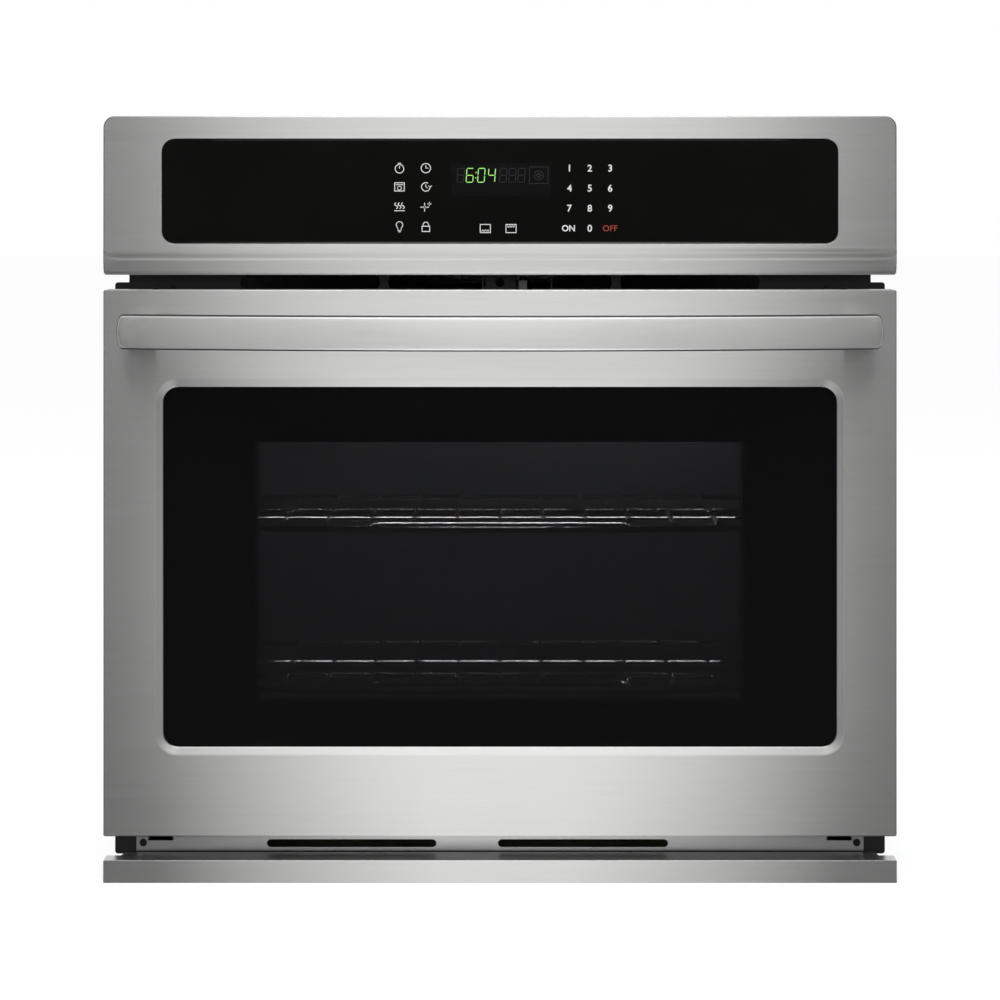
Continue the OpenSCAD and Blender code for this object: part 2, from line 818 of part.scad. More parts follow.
module blower_motor() {
    leg_r = 3.5;
    plate_t = 1.5;
    leg_circle = inlet_r + 8;
    color([0.35, 0.35, 0.38]) at_face() translate([0, blower_y, 0]) difference() {
        union() {
            for (a = [30, 150, 270]) rotate([0, 0, a]) {
                rod_z(leg_circle, 0, duct_z1, motor_z0, leg_r);
                slab(0, leg_circle, -leg_r, leg_r, motor_z0, motor_z0 + plate_t);
                rod_z(leg_circle, 0, motor_z0, motor_z0 + plate_t, leg_r);
            }
            rod_z(0, 0, motor_z0, motor_z0 + motor_h, motor_r);
            rod_z(0, 0, motor_z0 + motor_h, motor_z0 + motor_h + 5, 12);
        }
        rod_z(0, 0, motor_z0 - 1, motor_z0 + motor_h, shaft_r + run_gap);
    }
}

module blower_wheel() {
    hub = 14;
    disc = 1.5;
    ring_w = 5;
    blade_len = 16;
    color([0.3, 0.3, 0.32]) at_face() translate([0, blower_y, 0]) {
        rod_z(0, 0, wheel_z0, motor_z0 + motor_h - move_gap, shaft_r);
        rod_z(0, 0, wheel_z0, wheel_z0 + hub, hub);
        rod_z(0, 0, wheel_z0, wheel_z0 + disc, wheel_r);
        difference() {
            rod_z(0, 0, wheel_z1 - disc, wheel_z1, wheel_r);
            rod_z(0, 0, wheel_z0, wheel_z1 + 1, wheel_r - ring_w);
        }
        for (i = [0:wheel_blades - 1]) rotate([0, 0, i * 360 / wheel_blades])
            translate([wheel_r - 8, 0, wheel_z0 + disc / 2]) rotate([0, 0, 35])
                translate([-blade_len / 2, -0.5, 0])
                    cube([blade_len - 3, 1, wheel_h - disc]);
    }
}

// ---- Self-clean latch ----

latch_x = 22;
latch_y = 26;
latch_post_r = 3;
latch_base_z = duct_z0 + sheet;
hook_t = 3;
hook_z = door_z1 + 3.6;
hook_w = 8;
hook_reach = 58;
hook_tail = 30;
latch_turn = 20;
latch_travel = hook_tail * sin(latch_turn);
cam_x = latch_x - latch_travel / 2;
cam_y = latch_y + hook_tail;
cam_pin_r = 2;
cam_r = latch_travel / 2 + cam_pin_r + 2;
cam_t = 3;
cam_z = hook_z + hook_t + 2;
latch_plate_z = cam_z + cam_t + move_gap;
latch_plate_x0 = cam_x - 34;
latch_plate_x1 = cam_x + 34;
latch_depth = 88;
cam_shaft_r = 2.5;
latch_motor_h = duct_z1 - sheet - latch_plate_z - sheet - 2;

module latch_bracket() {
    color("silver") at_face() difference() {
        union() {
            slab(latch_plate_x0, latch_plate_x1, 6, latch_depth, latch_base_z,
                latch_base_z + sheet);
            slab(latch_plate_x0, latch_plate_x1, 6, latch_depth, latch_plate_z,
                latch_plate_z + sheet);
            slab(latch_plate_x0, latch_plate_x0 + sheet, 6, latch_depth, latch_base_z,
                latch_plate_z + sheet);
            slab(latch_plate_x1 - sheet, latch_plate_x1, 6, latch_depth, latch_base_z,
                latch_plate_z + sheet);
            rod_z(latch_x, latch_y, latch_base_z, latch_plate_z + sheet, latch_post_r);
            rod_z(latch_x, latch_y, latch_base_z, hook_z - move_gap, latch_post_r + 3);
        }
        rod_z(cam_x, cam_y, latch_plate_z - 1, latch_plate_z + sheet + 1, cam_shaft_r + 1);
    }
}

module latch_motor() {
    motor_size = 22;
    ear = 6;
    z0 = latch_plate_z + sheet;
    color([0.75, 0.75, 0.72]) at_face() difference() {
        union() {
            rod_z(cam_x, cam_y, z0, z0 + latch_motor_h, motor_size);
            level(z0, z0 + 1.2)
                slot(cam_x - motor_size - ear, cam_x + motor_size + ear, cam_y, 14);
        }
        rod_z(cam_x, cam_y, z0 - 1, z0 + latch_motor_h - 4, cam_shaft_r + run_gap);
    }
}

module latch_cam() {
    color([0.9, 0.9, 0.88]) at_face() {
        rod_z(cam_x, cam_y, cam_z, cam_z + cam_t, cam_r);
        rod_z(cam_x, cam_y, cam_z, latch_plate_z + sheet + latch_motor_h - 5, cam_shaft_r);
        rod_z(cam_x + latch_travel / 2, cam_y, hook_z - 1.5, cam_z + 1, cam_pin_r);
    }
}

module latch_hook() {
    fork_gap = cam_pin_r + 2.2;
    fork_wall = 3.5;
    tab_h = 13;
    fork_end = cam_y + latch_travel / 2 + cam_pin_r + 2;
    tip_y = latch_y - hook_reach;
    z1 = hook_z + hook_t;
    color("silver") at_face() difference() {
        union() {
            slab(latch_x - hook_w / 2, latch_x + hook_w / 2, tip_y, latch_y, hook_z, z1);
            slab(latch_x - hook_w / 2, latch_x + hook_w / 2, tip_y, tip_y + 2.5,
                z1 - tab_h, z1 + 2);
            rod_z(latch_x, latch_y, hook_z, z1, latch_post_r + 5);
            slab(latch_x - fork_gap - fork_wall, latch_x + fork_gap + fork_wall,
                latch_y + 4, fork_end, hook_z, z1);
        }
        rod_z(latch_x, latch_y, hook_z - 1, z1 + 1, latch_post_r + run_gap);
        slab(latch_x - fork_gap, latch_x + fork_gap, cam_y - cam_pin_r - 3,
            fork_end + 1, hook_z - 1, z1 + 1);
    }
}

// ---- Door switch ----

module door_switch() {
    bore = plunger_r + run_gap;
    color([0.12, 0.12, 0.13]) at_face() difference() {
        slab(switch_x - switch_w / 2, switch_x + switch_w / 2, 0, switch_d,
            switch_z - switch_h / 2, switch_z + switch_h / 2);
        rod_y(switch_x, -1, 20, switch_z, bore);
    }
}

module switch_plunger() {
    color("white") at_face()
        rod_y(switch_x, door_y1 + move_gap, 19, switch_z, plunger_r);
}

// ---- Hinges ----

notch_y = 12;
notch_r = 3;

// The pin that the arm's notch sits on, low in the receiver.
notch_z = hinge_z - arm_h / 2 + 3;

module hinge_receivers() {
    wall = 1.5;
    y1 = arm_reach + 24;
    z0 = hinge_slot_z0 + 2;
    half = channel_w / 2 + 1;
    color("silver") at_face() both_sides() {
        difference() {
            slab(hinge_x - half, hinge_x + half, 0, y1, z0, hinge_slot_z1 - 2);
            slab(hinge_x - half + wall, hinge_x + half - wall, -1, y1 - wall,
                z0 - 1, hinge_slot_z1);
        }
        rod_x(hinge_x - half, hinge_x + half, notch_y, notch_z, notch_r);
    }
}

module hinge_arms() {
    tail_y = arm_reach;
    color("dimgray") at_face() both_sides() difference() {
        sideways(hinge_x - arm_t / 2, hinge_x + arm_t / 2) difference() {
            union() {
                translate([hinge_y, hinge_z]) circle(hub_r);
                rect(hinge_y, tail_y - arm_h / 2, hinge_z - arm_h / 2, hinge_z + arm_h / 2);
                translate([tail_y - arm_h / 2, hinge_z]) circle(arm_h / 2);
            }
            rect(notch_y - notch_r - fit_gap, notch_y + notch_r + fit_gap,
                hinge_z - arm_h, notch_z + notch_r + fit_gap);
        }
        rod_x(hinge_x - arm_t, hinge_x + arm_t, hinge_y, hinge_z, pin_r + run_gap);
    }
}

spring_r = 6.4;
spring_wire = 2.4;
spring_pitch = 0.9 * spring_wire;
spring_z0 = hinge_z + hub_r + 10;
anchor_z = door_z0 + channel_h - 16;
anchor_r = 2.5;
spring_turns = floor((anchor_z - 12 - spring_z0) / spring_pitch);
spring_z1 = spring_z0 + spring_turns * spring_pitch;
spring_y = hinge_y - 1;

// Counterbalance springs: close-wound coils, ribbed on the outside, with a hook at both ends.
module hinge_springs() {
    r = spring_wire / 2;
    hub_top = hinge_z + hub_r + move_gap;
    anchor_low = anchor_z - anchor_r - fit_gap;
    ribs = [for (i = [0:2 * spring_turns])
        [spring_r + (i % 2 == 0 ? 0 : r), spring_z0 + i * spring_pitch / 2]];
    color("gray") at_face() both_sides() translate([hinge_x, spring_y, 0]) {
        rotate_extrude() polygon(concat([[0, spring_z0]], ribs, [[0, spring_z1]]));
        rod_z(0, 0, hub_top, spring_z0, r);
        rod_z(0, 0, spring_z1, anchor_low, r);
    }
}

module hinge_pins() {
    half = channel_w / 2;
    head_t = 1.5;
    color("gray") at_face() both_sides() {
        rod_x(hinge_x - half - 2, hinge_x + half, hinge_y, hinge_z, pin_r);
        rod_x(hinge_x + half, hinge_x + half + head_t, hinge_y, hinge_z, pin_r + 2);
    }
}

// Channels in the door that carry the hinge pins and the spring anchors.
module hinge_channels() {
    wall = 1.5;
    front = door_y0 + skin + 11.5;
    back = door_y1 - sheet;
    half = channel_w / 2;
    color("silver") at_face() both_sides() {
        difference() {
            slab(hinge_x - half, hinge_x + half, front, back, door_z0 + skin,
                door_z0 + channel_h);
            slab(hinge_x - half + wall, hinge_x + half - wall, front + wall, back + 1,
                door_z0, door_z0 + channel_h + 1);
            rod_x(hinge_x - half - 1, hinge_x + half + 1, hinge_y, hinge_z, pin_r + run_gap);
        }
        rod_x(hinge_x - half, hinge_x + half, spring_y, anchor_z, anchor_r);
    }
}

// ---- Racks ----

rack_half = cavity_w / 2 - rack_side_gap - rack_frame_d / 2;
rack_back = cavity_d - rack_back_gap;
rack_corner = 26;
arc_steps = 256;
bow_r = (pow(rack_half, 2) + pow(rack_bow, 2)) / (2 * rack_bow);
bow_angle = asin((rack_half - rack_corner) / (bow_r - rack_corner));
bow_corner_y = rack_front + bow_r - (bow_r - rack_corner) * cos(bow_angle);

function bow_y(x) = rack_front + bow_r - sqrt(bow_r * bow_r - x * x);

// Part of a ring of wire about a vertical axis at x and y.
module wire_arc(x, y, radius, start, angle, d) {
    translate([x, y, 0]) rotate([0, 0, start])
        rotate_extrude(angle = angle, $fn = arc_steps) translate([radius, 0]) circle(d = d, $fn = 48);
}

module rack(z) {
    r = rack_frame_d / 2;
    cross_r = rack_cross_d / 2;
    bar_z = cross_r + rack_bar_d / 2 - 0.3;
    bar_steps = floor((rack_half - 20) / rack_bar_pitch);
    hand_y = rack_front + rack_hand_depth;
    hand_r = 8;
    hand_half = rack_hand_w / 2;
    weld = 2;
    corner_d = rack_frame_d - 0.04;
    translate([0, 0, z]) {
        wire_arc(0, rack_front + bow_r, bow_r, -90 - bow_angle, 2 * bow_angle, rack_frame_d);
        both_sides() {
            wire_arc(rack_half - rack_corner, bow_corner_y, rack_corner, -92 + bow_angle,
                94 - bow_angle, corner_d);
            rod_y(rack_half, bow_corner_y, rack_back - rack_corner, 0, r);
            wire_arc(rack_half - rack_corner, rack_back - rack_corner, rack_corner, -2, 94,
                corner_d);
            wire_arc(hand_half - hand_r, hand_y - hand_r, hand_r, -4, 98, rack_cross_d - 0.04);
            rod_y(hand_half, bow_y(hand_half), hand_y - hand_r, 0, cross_r);
        }
        rod_x(-rack_half + rack_corner, rack_half - rack_corner, rack_back, 0, r);
        rod_x(-hand_half + hand_r, hand_half - hand_r, hand_y, 0, cross_r);
        for (y = [rack_cross_1, rack_cross_2])
            rod_x(-rack_half, rack_half, rack_front + y, 0, cross_r);
        for (i = [-bar_steps:bar_steps]) {
            x = i * rack_bar_pitch;
            y0 = abs(x) < hand_half + rack_bar_d ? hand_y - weld : bow_y(x);
            rod_y(x, y0, rack_back, bar_z, rack_bar_d / 2);
        }
    }
}

module upper_rack() {
    color([0.55, 0.55, 0.56]) at_face() rack(upper_rack_z);
}

module lower_rack() {
    color([0.55, 0.55, 0.56]) at_face() rack(lower_rack_z);
}

// ---- Electronics ----

tray_y0 = 20;
tray_y1 = duct_back - 30;

module electronics_tray() {
    color("silver") at_face() {
        wide(inside_w, tray_y0, tray_y1, duct_z1, duct_z1 + sheet);
        both_sides() slab(inside_w / 2 - sheet, inside_w / 2, tray_y0, tray_y1, duct_z1,
            duct_z1 + 14);
    }
}

module power_board() {
    board_w = 190;
    board_d = 130;
    stand = 8;
    x0 = -inside_w / 2 + 20;
    y0 = tray_y0 + 30;
    z0 = duct_z1 + sheet + stand;
    board_t = 1.6;
    post = 3;
    color([0.1, 0.35, 0.2]) at_face() {
        slab(x0, x0 + board_w, y0, y0 + board_d, z0, z0 + board_t);
        for (x = [x0 + 8, x0 + board_w - 8], y = [y0 + 8, y0 + board_d - 8])
            rod_z(x, y, z0 - stand, z0 + board_t + 2, post);
        for (i = [0:4])
            slab(x0 + 20 + i * 32, x0 + 42 + i * 32, y0 + 80, y0 + 108, z0 + 1, z0 + 24);
        slab(x0 + 24, x0 + 74, y0 + 22, y0 + 62, z0 + 1, z0 + 32);
        for (i = [0:2]) rod_z(x0 + 100 + i * 24, y0 + 40, z0 + 1, z0 + 26, 8);
    }
}

terminal_x = body_w / 2 - 105.5;
terminal_z = duct_z1 + 40;

module terminal_block() {
    half = 32;
    depth = 20;
    color([0.15, 0.15, 0.16]) at_face() {
        slab(terminal_x - half, terminal_x + half, cover_y0 - depth, cover_y0,
            terminal_z - 14, terminal_z + 14);
        for (i = [-1:1])
            rod_y(terminal_x + i * 20, cover_y0 - depth - 3, cover_y0 - depth + 1, terminal_z, 5);
    }
}

module conduit_plate() {
    half = conduit_plate_w / 2;
    color("silver") at_face() difference() {
        slab(conduit_x - half, conduit_x + half, cover_y0 - conduit_plate_t, cover_y0,
            conduit_z - half, conduit_z + half);
        rod_y(conduit_x, cover_y0 - conduit_plate_t - 1, cover_y0 + 1, conduit_z, conduit_r);
    }
}

// ---- Control panel ----

glass_y = door_y0 + 0.5;
panel_glass_t = 4;
panel_glass_w = front_w - 2 * panel_side_inset;
panel_glass_z0 = panel_z0 + panel_low_inset;
panel_glass_z1 = panel_z1 - panel_high_inset;
panel_glass_gap = 0.8;
housing_rim = 8;
housing_floor_y = glass_y + panel_glass_t;
housing_floor = 2;
housing_back = door_y0 + 17;
display_z = panel_glass_z0 + display_rise;
board_plate_y = door_y0 + 23;

module panel_glass_outline(grow) {
    round_rect(-panel_glass_w / 2 - grow, panel_glass_w / 2 + grow, panel_glass_z0 - grow,
        panel_glass_z1 + grow, panel_glass_r + grow);
}

module control_bezel() {
    lip_back = 3;
    crease_z = panel_z0 + lip_h;
    lip_foot = 4;
    side_back = -1.5;
    y = door_y0;
    half = front_w / 2;
    color("lightgray") at_face() {
        difference() {
            upright(y, y + skin) rect(-half, half, crease_z, panel_z1);
            upright(y - 1, y + skin + 1) panel_glass_outline(panel_glass_gap);
        }
        sideways(-half, half) polygon([[y, crease_z], [y + lip_back, crease_z - 6],
            [y + lip_back, panel_z0 + lip_foot], [y + lip_back + 4, panel_z0],
            [y + lip_back + 4 + skin, panel_z0 + skin], [y + lip_back + skin, panel_z0 + lip_foot],
            [y + lip_back + skin, crease_z - 6], [y + skin, crease_z]]);
        both_sides() sideways(half - skin, half)
            polygon([[y, panel_z1], [y, crease_z], [y + lip_back, crease_z - 6],
                [y + lip_back, panel_z0 + lip_foot], [y + lip_back + 4, panel_z0],
                [side_back, panel_z0], [side_back, panel_z1]]);
        wide(front_w, y, side_back, panel_z1 - skin, panel_z1);
    }
}

module control_glass() {
    color([0.05, 0.05, 0.05]) at_face()
        upright(glass_y, glass_y + panel_glass_t) panel_glass_outline(0);
}

module display_opening(grow) {
    rect(-display_w / 2 - grow, display_w / 2 + grow, display_z - display_h / 2 - grow,
        display_z + display_h / 2 + grow);
}

module control_housing() {
    color([0.1, 0.1, 0.1]) at_face() {
        difference() {
            upright(door_y0 + skin, housing_back) panel_glass_outline(housing_rim);
            upright(door_y0, housing_back + 1) panel_glass_outline(panel_glass_gap);
        }
        difference() {
            upright(housing_floor_y, housing_floor_y + housing_floor)
                panel_glass_outline(panel_glass_gap);
            upright(housing_floor_y - 1, housing_floor_y + housing_floor + 1)
                display_opening(fit_gap);
        }
    }
}

module display_module() {
    color([0.02, 0.05, 0.03]) at_face()
        upright(housing_floor_y, housing_floor_y + 7) display_opening(0);
}

module touch_panel() {
    inset = 4;
    color([0.1, 0.3, 0.2]) at_face() difference() {
        upright(housing_floor_y + housing_floor, housing_floor_y + housing_floor + 1)
            panel_glass_outline(-inset);
        upright(housing_floor_y, housing_floor_y + 10) display_opening(1);
    }
}

module control_brackets() {
    x = panel_glass_w / 2 + housing_rim + 6;
    z0 = panel_glass_z0 - 2;
    z1 = body_top - 4;
    foot = 10;
    color("silver") at_face() {
        both_sides() {
            slab(x, x + sheet, door_y0 + skin, frame_y0, z0, z1);
            slab(x, x + foot, door_y0 + skin, door_y0 + skin + sheet, z0, z1);
            slab(x, x + foot, frame_y0 - sheet, frame_y0, z0, z1);
        }
        wide(2 * x, board_plate_y, board_plate_y + sheet, z0 + 8, z1 - 8);
    }
}

module control_board() {
    half = 130;
    z0 = panel_glass_z0 + 10;
    z1 = body_top - 16;
    stand = 3;
    y1 = board_plate_y - stand;
    y0 = y1 - 1.6;
    color([0.1, 0.35, 0.2]) at_face() {
        wide(2 * half, y0, y1, z0, z1);
        for (x = [-half + 8, half - 8], z = [z0 + 8, z1 - 8])
            rod_y(x, y0, board_plate_y, z, 2.5);
        for (i = [0:3]) slab(-100 + i * 56, -72 + i * 56, y0 - 4, y0 + 0.5, z0 + 10, z0 + 24);
    }
}

// ---- Door ----

glass_x = front_w / 2 - glass_side_inset;
glass_z0 = door_z0 + glass_low_inset;
glass_z1 = door_z1 - glass_high_inset;
glass_front = door_y0 + bevel_d + skin;
window_x = glass_x - window_side_inset;
window_z0 = glass_z0 + window_end_inset;
window_z1 = glass_z1 - window_end_inset;
liner_front = door_y1 - sheet;
plug_back = door_y1 + plug_d;
inner_pane_y = plug_back - sheet - pane_t;
pack_front = door_y0 + 18;
latch_slot_x0 = latch_x - hook_w / 2 - 4;
latch_slot_x1 = latch_x + hook_w / 2 + hook_reach * sin(latch_turn) + 2.5;
latch_slot_deep = hook_reach * (1 - cos(latch_turn)) + hook_w * sin(latch_turn) / 2 + 5;
latch_entry_x1 = latch_x + hook_w / 2 + 4;
door_screw_x = hinge_x + 2;
door_screw_y = door_y0 + 22;

module glass_outline(grow, r) {
    round_rect(-glass_x - grow, glass_x + grow, glass_z0 - grow, glass_z1 + grow, r);
}

module window_outline(grow, r) {
    round_rect(-window_x - grow, window_x + grow, window_z0 - grow, window_z1 + grow, r);
}

module door_skin() {
    half = front_w / 2;
    arm_clear = hub_r + 2;
    tab_y = latch_y - hook_reach;
    color("lightgray") at_face() {
        difference() {
            union() {
                wide(front_w, door_y0, door_y0 + skin, door_z0, door_z1);
                wide(front_w, door_y0, door_y1, door_z0, door_z0 + skin);
                wide(front_w, door_y0, door_y1, door_z1 - skin, door_z1);
                both_sides() slab(half - skin, half, door_y0, door_y1, door_z0, door_z1);
            }
            upright(door_y0 - 1, door_y0 + skin + 1)
                glass_outline(bevel_w, glass_r + bevel_w);
            both_sides() {
                slab(hinge_x - hinge_slot_w / 2, hinge_x + hinge_slot_w / 2,
                    hinge_y - arm_clear, door_y1 + 1, door_z0 - 1, door_z0 + skin + 1);
                rod_z(door_screw_x, door_screw_y, door_z1 - skin - 1, door_z1 + 1, screw_hole_r);
                for (z = handle_screw_z)
                    rod_y(handle_foot_x, door_y0 - 1, door_y0 + skin + 1, z, screw_hole_r);
            }
            slab(latch_slot_x0, latch_slot_x1, tab_y - 3, tab_y + latch_slot_deep,
                door_z1 - skin - 1, door_z1 + 1);
            slab(latch_slot_x0, latch_entry_x1, tab_y - 3, door_y1 + 1, door_z1 - skin - 1,
                door_z1 + 1);
        }
        translate([0, door_y0, 0])
            frame_sweep(-glass_x, glass_x, glass_z0, glass_z1, glass_r)
                polygon([[0, -bevel_d], [bevel_w, 0], [bevel_w, -skin], [0, -bevel_d - skin]]);
    }
}

module door_glass() {
    color([0.06, 0.06, 0.06]) at_face()
        upright(glass_front, glass_front + pane_t) glass_outline(pane_lap, glass_r);
}

// Long brackets that clamp the door glass along its top and bottom edges.
module glass_retainers() {
    t = 1.2;
    lap = 8;
    foot = 16;
    y0 = door_y0 + skin;
    y1 = glass_front + pane_t;
    z = glass_z1 + pane_lap + 1;
    low = glass_z0 - pane_lap - 1;
    half = glass_x - 20;
    color("silver") at_face() {
        sideways(-half, half) polygon([[y0, z], [y1, z], [y1, z - lap], [y1 + t, z - lap],
            [y1 + t, z + t], [y0 + t, z + t], [y0 + t, z + foot], [y0, z + foot]]);
        sideways(-half, half) polygon([[y0, low], [y1, low], [y1, low + lap], [y1 + t, low + lap],
            [y1 + t, low - t], [y0 + t, low - t], [y0 + t, low - foot], [y0, low - foot]]);
    }
}

pack_grow = 16;

module window_pack_frame() {
    lip = 8;
    back = inner_pane_y;
    color("silver") at_face() difference() {
        upright(pack_front, back) window_outline(pack_grow, 10);
        upright(pack_front + sheet, back - sheet) window_outline(pack_grow - sheet, 10 - sheet);
        upright(pack_front - 1, back + 1) window_outline(pack_grow - lip, 6);
    }
}

module door_inner_panes() {
    color([0.75, 0.8, 0.82, 0.4]) at_face() {
        upright(pack_front + sheet, pack_front + sheet + pane_t)
            window_outline(pack_grow - sheet - fit_gap, 10 - sheet);
        upright(inner_pane_y, inner_pane_y + pane_t) window_outline(pack_grow - 6, 6);
    }
}

module door_liner() {
    half = front_w / 2 - skin - fit_gap;
    z0 = door_z0 + skin + fit_gap;
    z1 = door_z1 - skin - fit_gap;
    plug_r = 30;
    color([0.14, 0.15, 0.17]) at_face() {
        difference() {
            upright(liner_front, door_y1) rect(-half, half, z0, z1);
            upright(liner_front - 1, door_y1 + 1) window_outline(plug_w - sheet, plug_r - sheet);
            both_sides() slab(hinge_x - hinge_slot_w / 2, hinge_x + hinge_slot_w / 2,
                liner_front - 1, door_y1 + 1, door_z0, hinge_z + hub_r + 2);
            slab(latch_slot_x0, latch_entry_x1, liner_front - 1, door_y1 + 1,
                door_z1 - 14, door_z1);
        }
        difference() {
            upright(liner_front, plug_back) window_outline(plug_w, plug_r);
            upright(liner_front - 1, plug_back - sheet)
                window_outline(plug_w - sheet, plug_r - sheet);
            upright(liner_front, plug_back + 1) window_outline(0, 8);
        }
    }
}

module door_insulation() {
    edge = 22;
    x = hinge_x - channel_w / 2 - 6;
    color([0.85, 0.78, 0.5]) at_face() difference() {
        upright(door_y0 + 13, liner_front)
            rect(-x, x, door_z0 + edge, door_z1 - edge);
        upright(door_y0, liner_front + 1) window_outline(pack_grow + 2, 8);
    }
}

// ---- Handle ----

handle_z = door_z1 - handle_drop;
handle_half = front_w / 2 - handle_inset;
handle_bow = handle_reach - handle_end_reach;
handle_r = (pow(handle_half, 2) + pow(handle_bow, 2)) / (2 * handle_bow);
handle_axis_y = door_y0 - handle_reach + handle_r;
handle_angle = asin(handle_half / handle_r) + 1;
handle_end_r = 42;
handle_foot_x = handle_half - 10 - handle_foot_w / 2;
handle_screw_z = [handle_z - 7, handle_z + 7];

// A curved bar about the handle's vertical axis, with the section that follows.
module handle_sweep(angle) {
    translate([0, handle_axis_y, handle_z]) rotate([0, 0, -90 - angle])
        rotate_extrude(angle = 2 * angle, $fn = arc_steps) children();
}

module handle_bar() {
    front_r = 4;
    end_x = handle_half - handle_end_r;
    color("lightgray") at_face() difference() {
        intersection() {
            handle_sweep(handle_angle)
                round_rect(handle_r - handle_t, handle_r, -handle_h / 2, handle_h / 2, front_r);
            upright(door_y0 - handle_reach - 1, door_y0) {
                rect(-end_x, end_x, handle_z - handle_h, handle_z + handle_h);
                for (x = [-end_x, end_x]) translate([x, handle_z]) circle(handle_end_r);
            }
        }
        both_sides() for (z = handle_screw_z)
            rod_y(handle_foot_x, door_y0 - handle_end_reach + 3, door_y0, z, screw_hole_r);
    }
}

// Mounts between the door and the handle's ends, and their screws from inside the door.
module handle_mounts() {
    x0 = handle_foot_x - handle_foot_w / 2;
    x1 = handle_foot_x + handle_foot_w / 2;
    foot_h = handle_h - 8;
    color("gray") at_face() both_sides() {
        difference() {
            slab(x0, x1, door_y0 - handle_end_reach - 6, door_y0, handle_z - foot_h / 2,
                handle_z + foot_h / 2);
            translate([0, handle_axis_y, handle_z - foot_h]) difference() {
                cylinder(r = handle_r + 30, h = 2 * foot_h, $fn = arc_steps);
                cylinder(r = handle_r - handle_t - 0.05, h = 2 * foot_h, $fn = arc_steps);
            }
            for (z = handle_screw_z)
                rod_y(handle_foot_x, door_y0 - handle_reach, door_y0 + 1, z, screw_hole_r);
        }
    }
}

module door_screws() {
    handle_screw_len = 19;
    color("gray") at_face() both_sides() {
        for (z = handle_screw_z) {
            rod_y(handle_foot_x, door_y0 + skin, door_y0 + skin + screw_head_h, z, screw_head_r);
            rod_y(handle_foot_x, door_y0 + skin - handle_screw_len, door_y0 + skin, z, screw_r);
        }
        rod_z(door_screw_x, door_screw_y, door_z1, door_z1 + screw_head_h, screw_head_r);
        rod_z(door_screw_x, door_screw_y, door_z1 - screw_len, door_z1, screw_r);
    }
}

chassis_rails();
base_pan();
side_panels();
back_cover();
top_cover();
front_frame();
control_bulkhead();
cavity_liner();
oven_insulation();
door_gasket();
broil_element();
bake_element();
element_clips();
lamp_holder();
lamp_bulb();
lamp_lens();
temperature_sensor();
vent_tube();
air_duct();
blower_housing();
blower_motor();
blower_wheel();
electronics_tray();
power_board();
terminal_block();
conduit_plate();
latch_bracket();
latch_motor();
latch_cam();
latch_hook();
door_switch();
switch_plunger();
hinge_receivers();
hinge_arms();
vent_trim();
lower_rail();
bottom_trim();
control_bezel();
control_glass();
control_housing();
display_module();
touch_panel();
control_board();
control_brackets();
chassis_screws();
upper_rack();
lower_rack();
door_skin();
door_glass();
glass_retainers();
window_pack_frame();
door_inner_panes();
door_liner();
door_insulation();
handle_bar();
handle_mounts();
hinge_channels();
hinge_pins();
hinge_springs();
door_screws();
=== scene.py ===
import json
import math

import bmesh
import bpy
from mathutils import Matrix, Vector, noise


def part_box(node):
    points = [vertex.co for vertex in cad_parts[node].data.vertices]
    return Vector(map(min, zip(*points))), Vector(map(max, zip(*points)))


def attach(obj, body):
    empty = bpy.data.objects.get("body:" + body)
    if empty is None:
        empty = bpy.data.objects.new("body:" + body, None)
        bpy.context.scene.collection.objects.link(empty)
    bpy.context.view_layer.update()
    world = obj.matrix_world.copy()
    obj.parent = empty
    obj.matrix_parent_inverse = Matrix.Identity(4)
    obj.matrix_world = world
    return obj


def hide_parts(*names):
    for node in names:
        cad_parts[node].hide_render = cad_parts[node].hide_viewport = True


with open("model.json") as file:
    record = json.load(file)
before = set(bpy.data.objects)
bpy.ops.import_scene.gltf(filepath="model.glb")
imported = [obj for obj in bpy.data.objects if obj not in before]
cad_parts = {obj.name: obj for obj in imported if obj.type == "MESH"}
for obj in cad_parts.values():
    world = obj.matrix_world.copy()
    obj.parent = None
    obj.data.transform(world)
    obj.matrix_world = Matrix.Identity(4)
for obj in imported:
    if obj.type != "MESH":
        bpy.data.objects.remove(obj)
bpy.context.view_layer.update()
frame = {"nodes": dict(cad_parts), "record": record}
scene = bpy.context.scene
scene.view_settings.view_transform = "Standard"
print("frame loaded:", len(frame["nodes"]), "nodes")

mm = 0.001
doorLow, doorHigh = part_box("door_skin")
doorFront = doorLow.y
panelLow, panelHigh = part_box("control_bezel")
trimLow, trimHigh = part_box("bottom_trim")


def addNode(tree, kind, **settings):
    node = tree.nodes.new(kind)
    for key, value in settings.items():
        setattr(node, key, value)
    return node


def feed(tree, node, values):
    # each input is linked to another node's output or gets a plain value
    for key, value in values.items():
        socket = node.inputs[key]
        if hasattr(value, "is_output"):
            tree.links.new(value, socket)
        elif value is not None:
            plainColor = socket.type == "RGBA" and len(value) == 3
            socket.default_value = (*value, 1) if plainColor else value
    return node


def mathNode(tree, operation, a, b=None, c=None):
    node = addNode(tree, "ShaderNodeMath", operation=operation)
    return feed(tree, node, {0: a, 1: b, 2: c}).outputs[0]


def rampValue(tree, value, low, high, outLow=0.0, outHigh=1.0):
    node = addNode(tree, "ShaderNodeMapRange", clamp=True)
    return feed(tree, node, {0: value, 1: low, 2: high, 3: outLow, 4: outHigh}).outputs[0]


def splitXYZ(tree, vector):
    return feed(tree, addNode(tree, "ShaderNodeSeparateXYZ"), {0: vector}).outputs


def startMaterial(name):
    mat = bpy.data.materials.new(name)
    mat.use_nodes = True
    tree = mat.node_tree
    coord = addNode(tree, "ShaderNodeTexCoord")
    return mat, tree, tree.nodes["Principled BSDF"], coord.outputs["Object"]


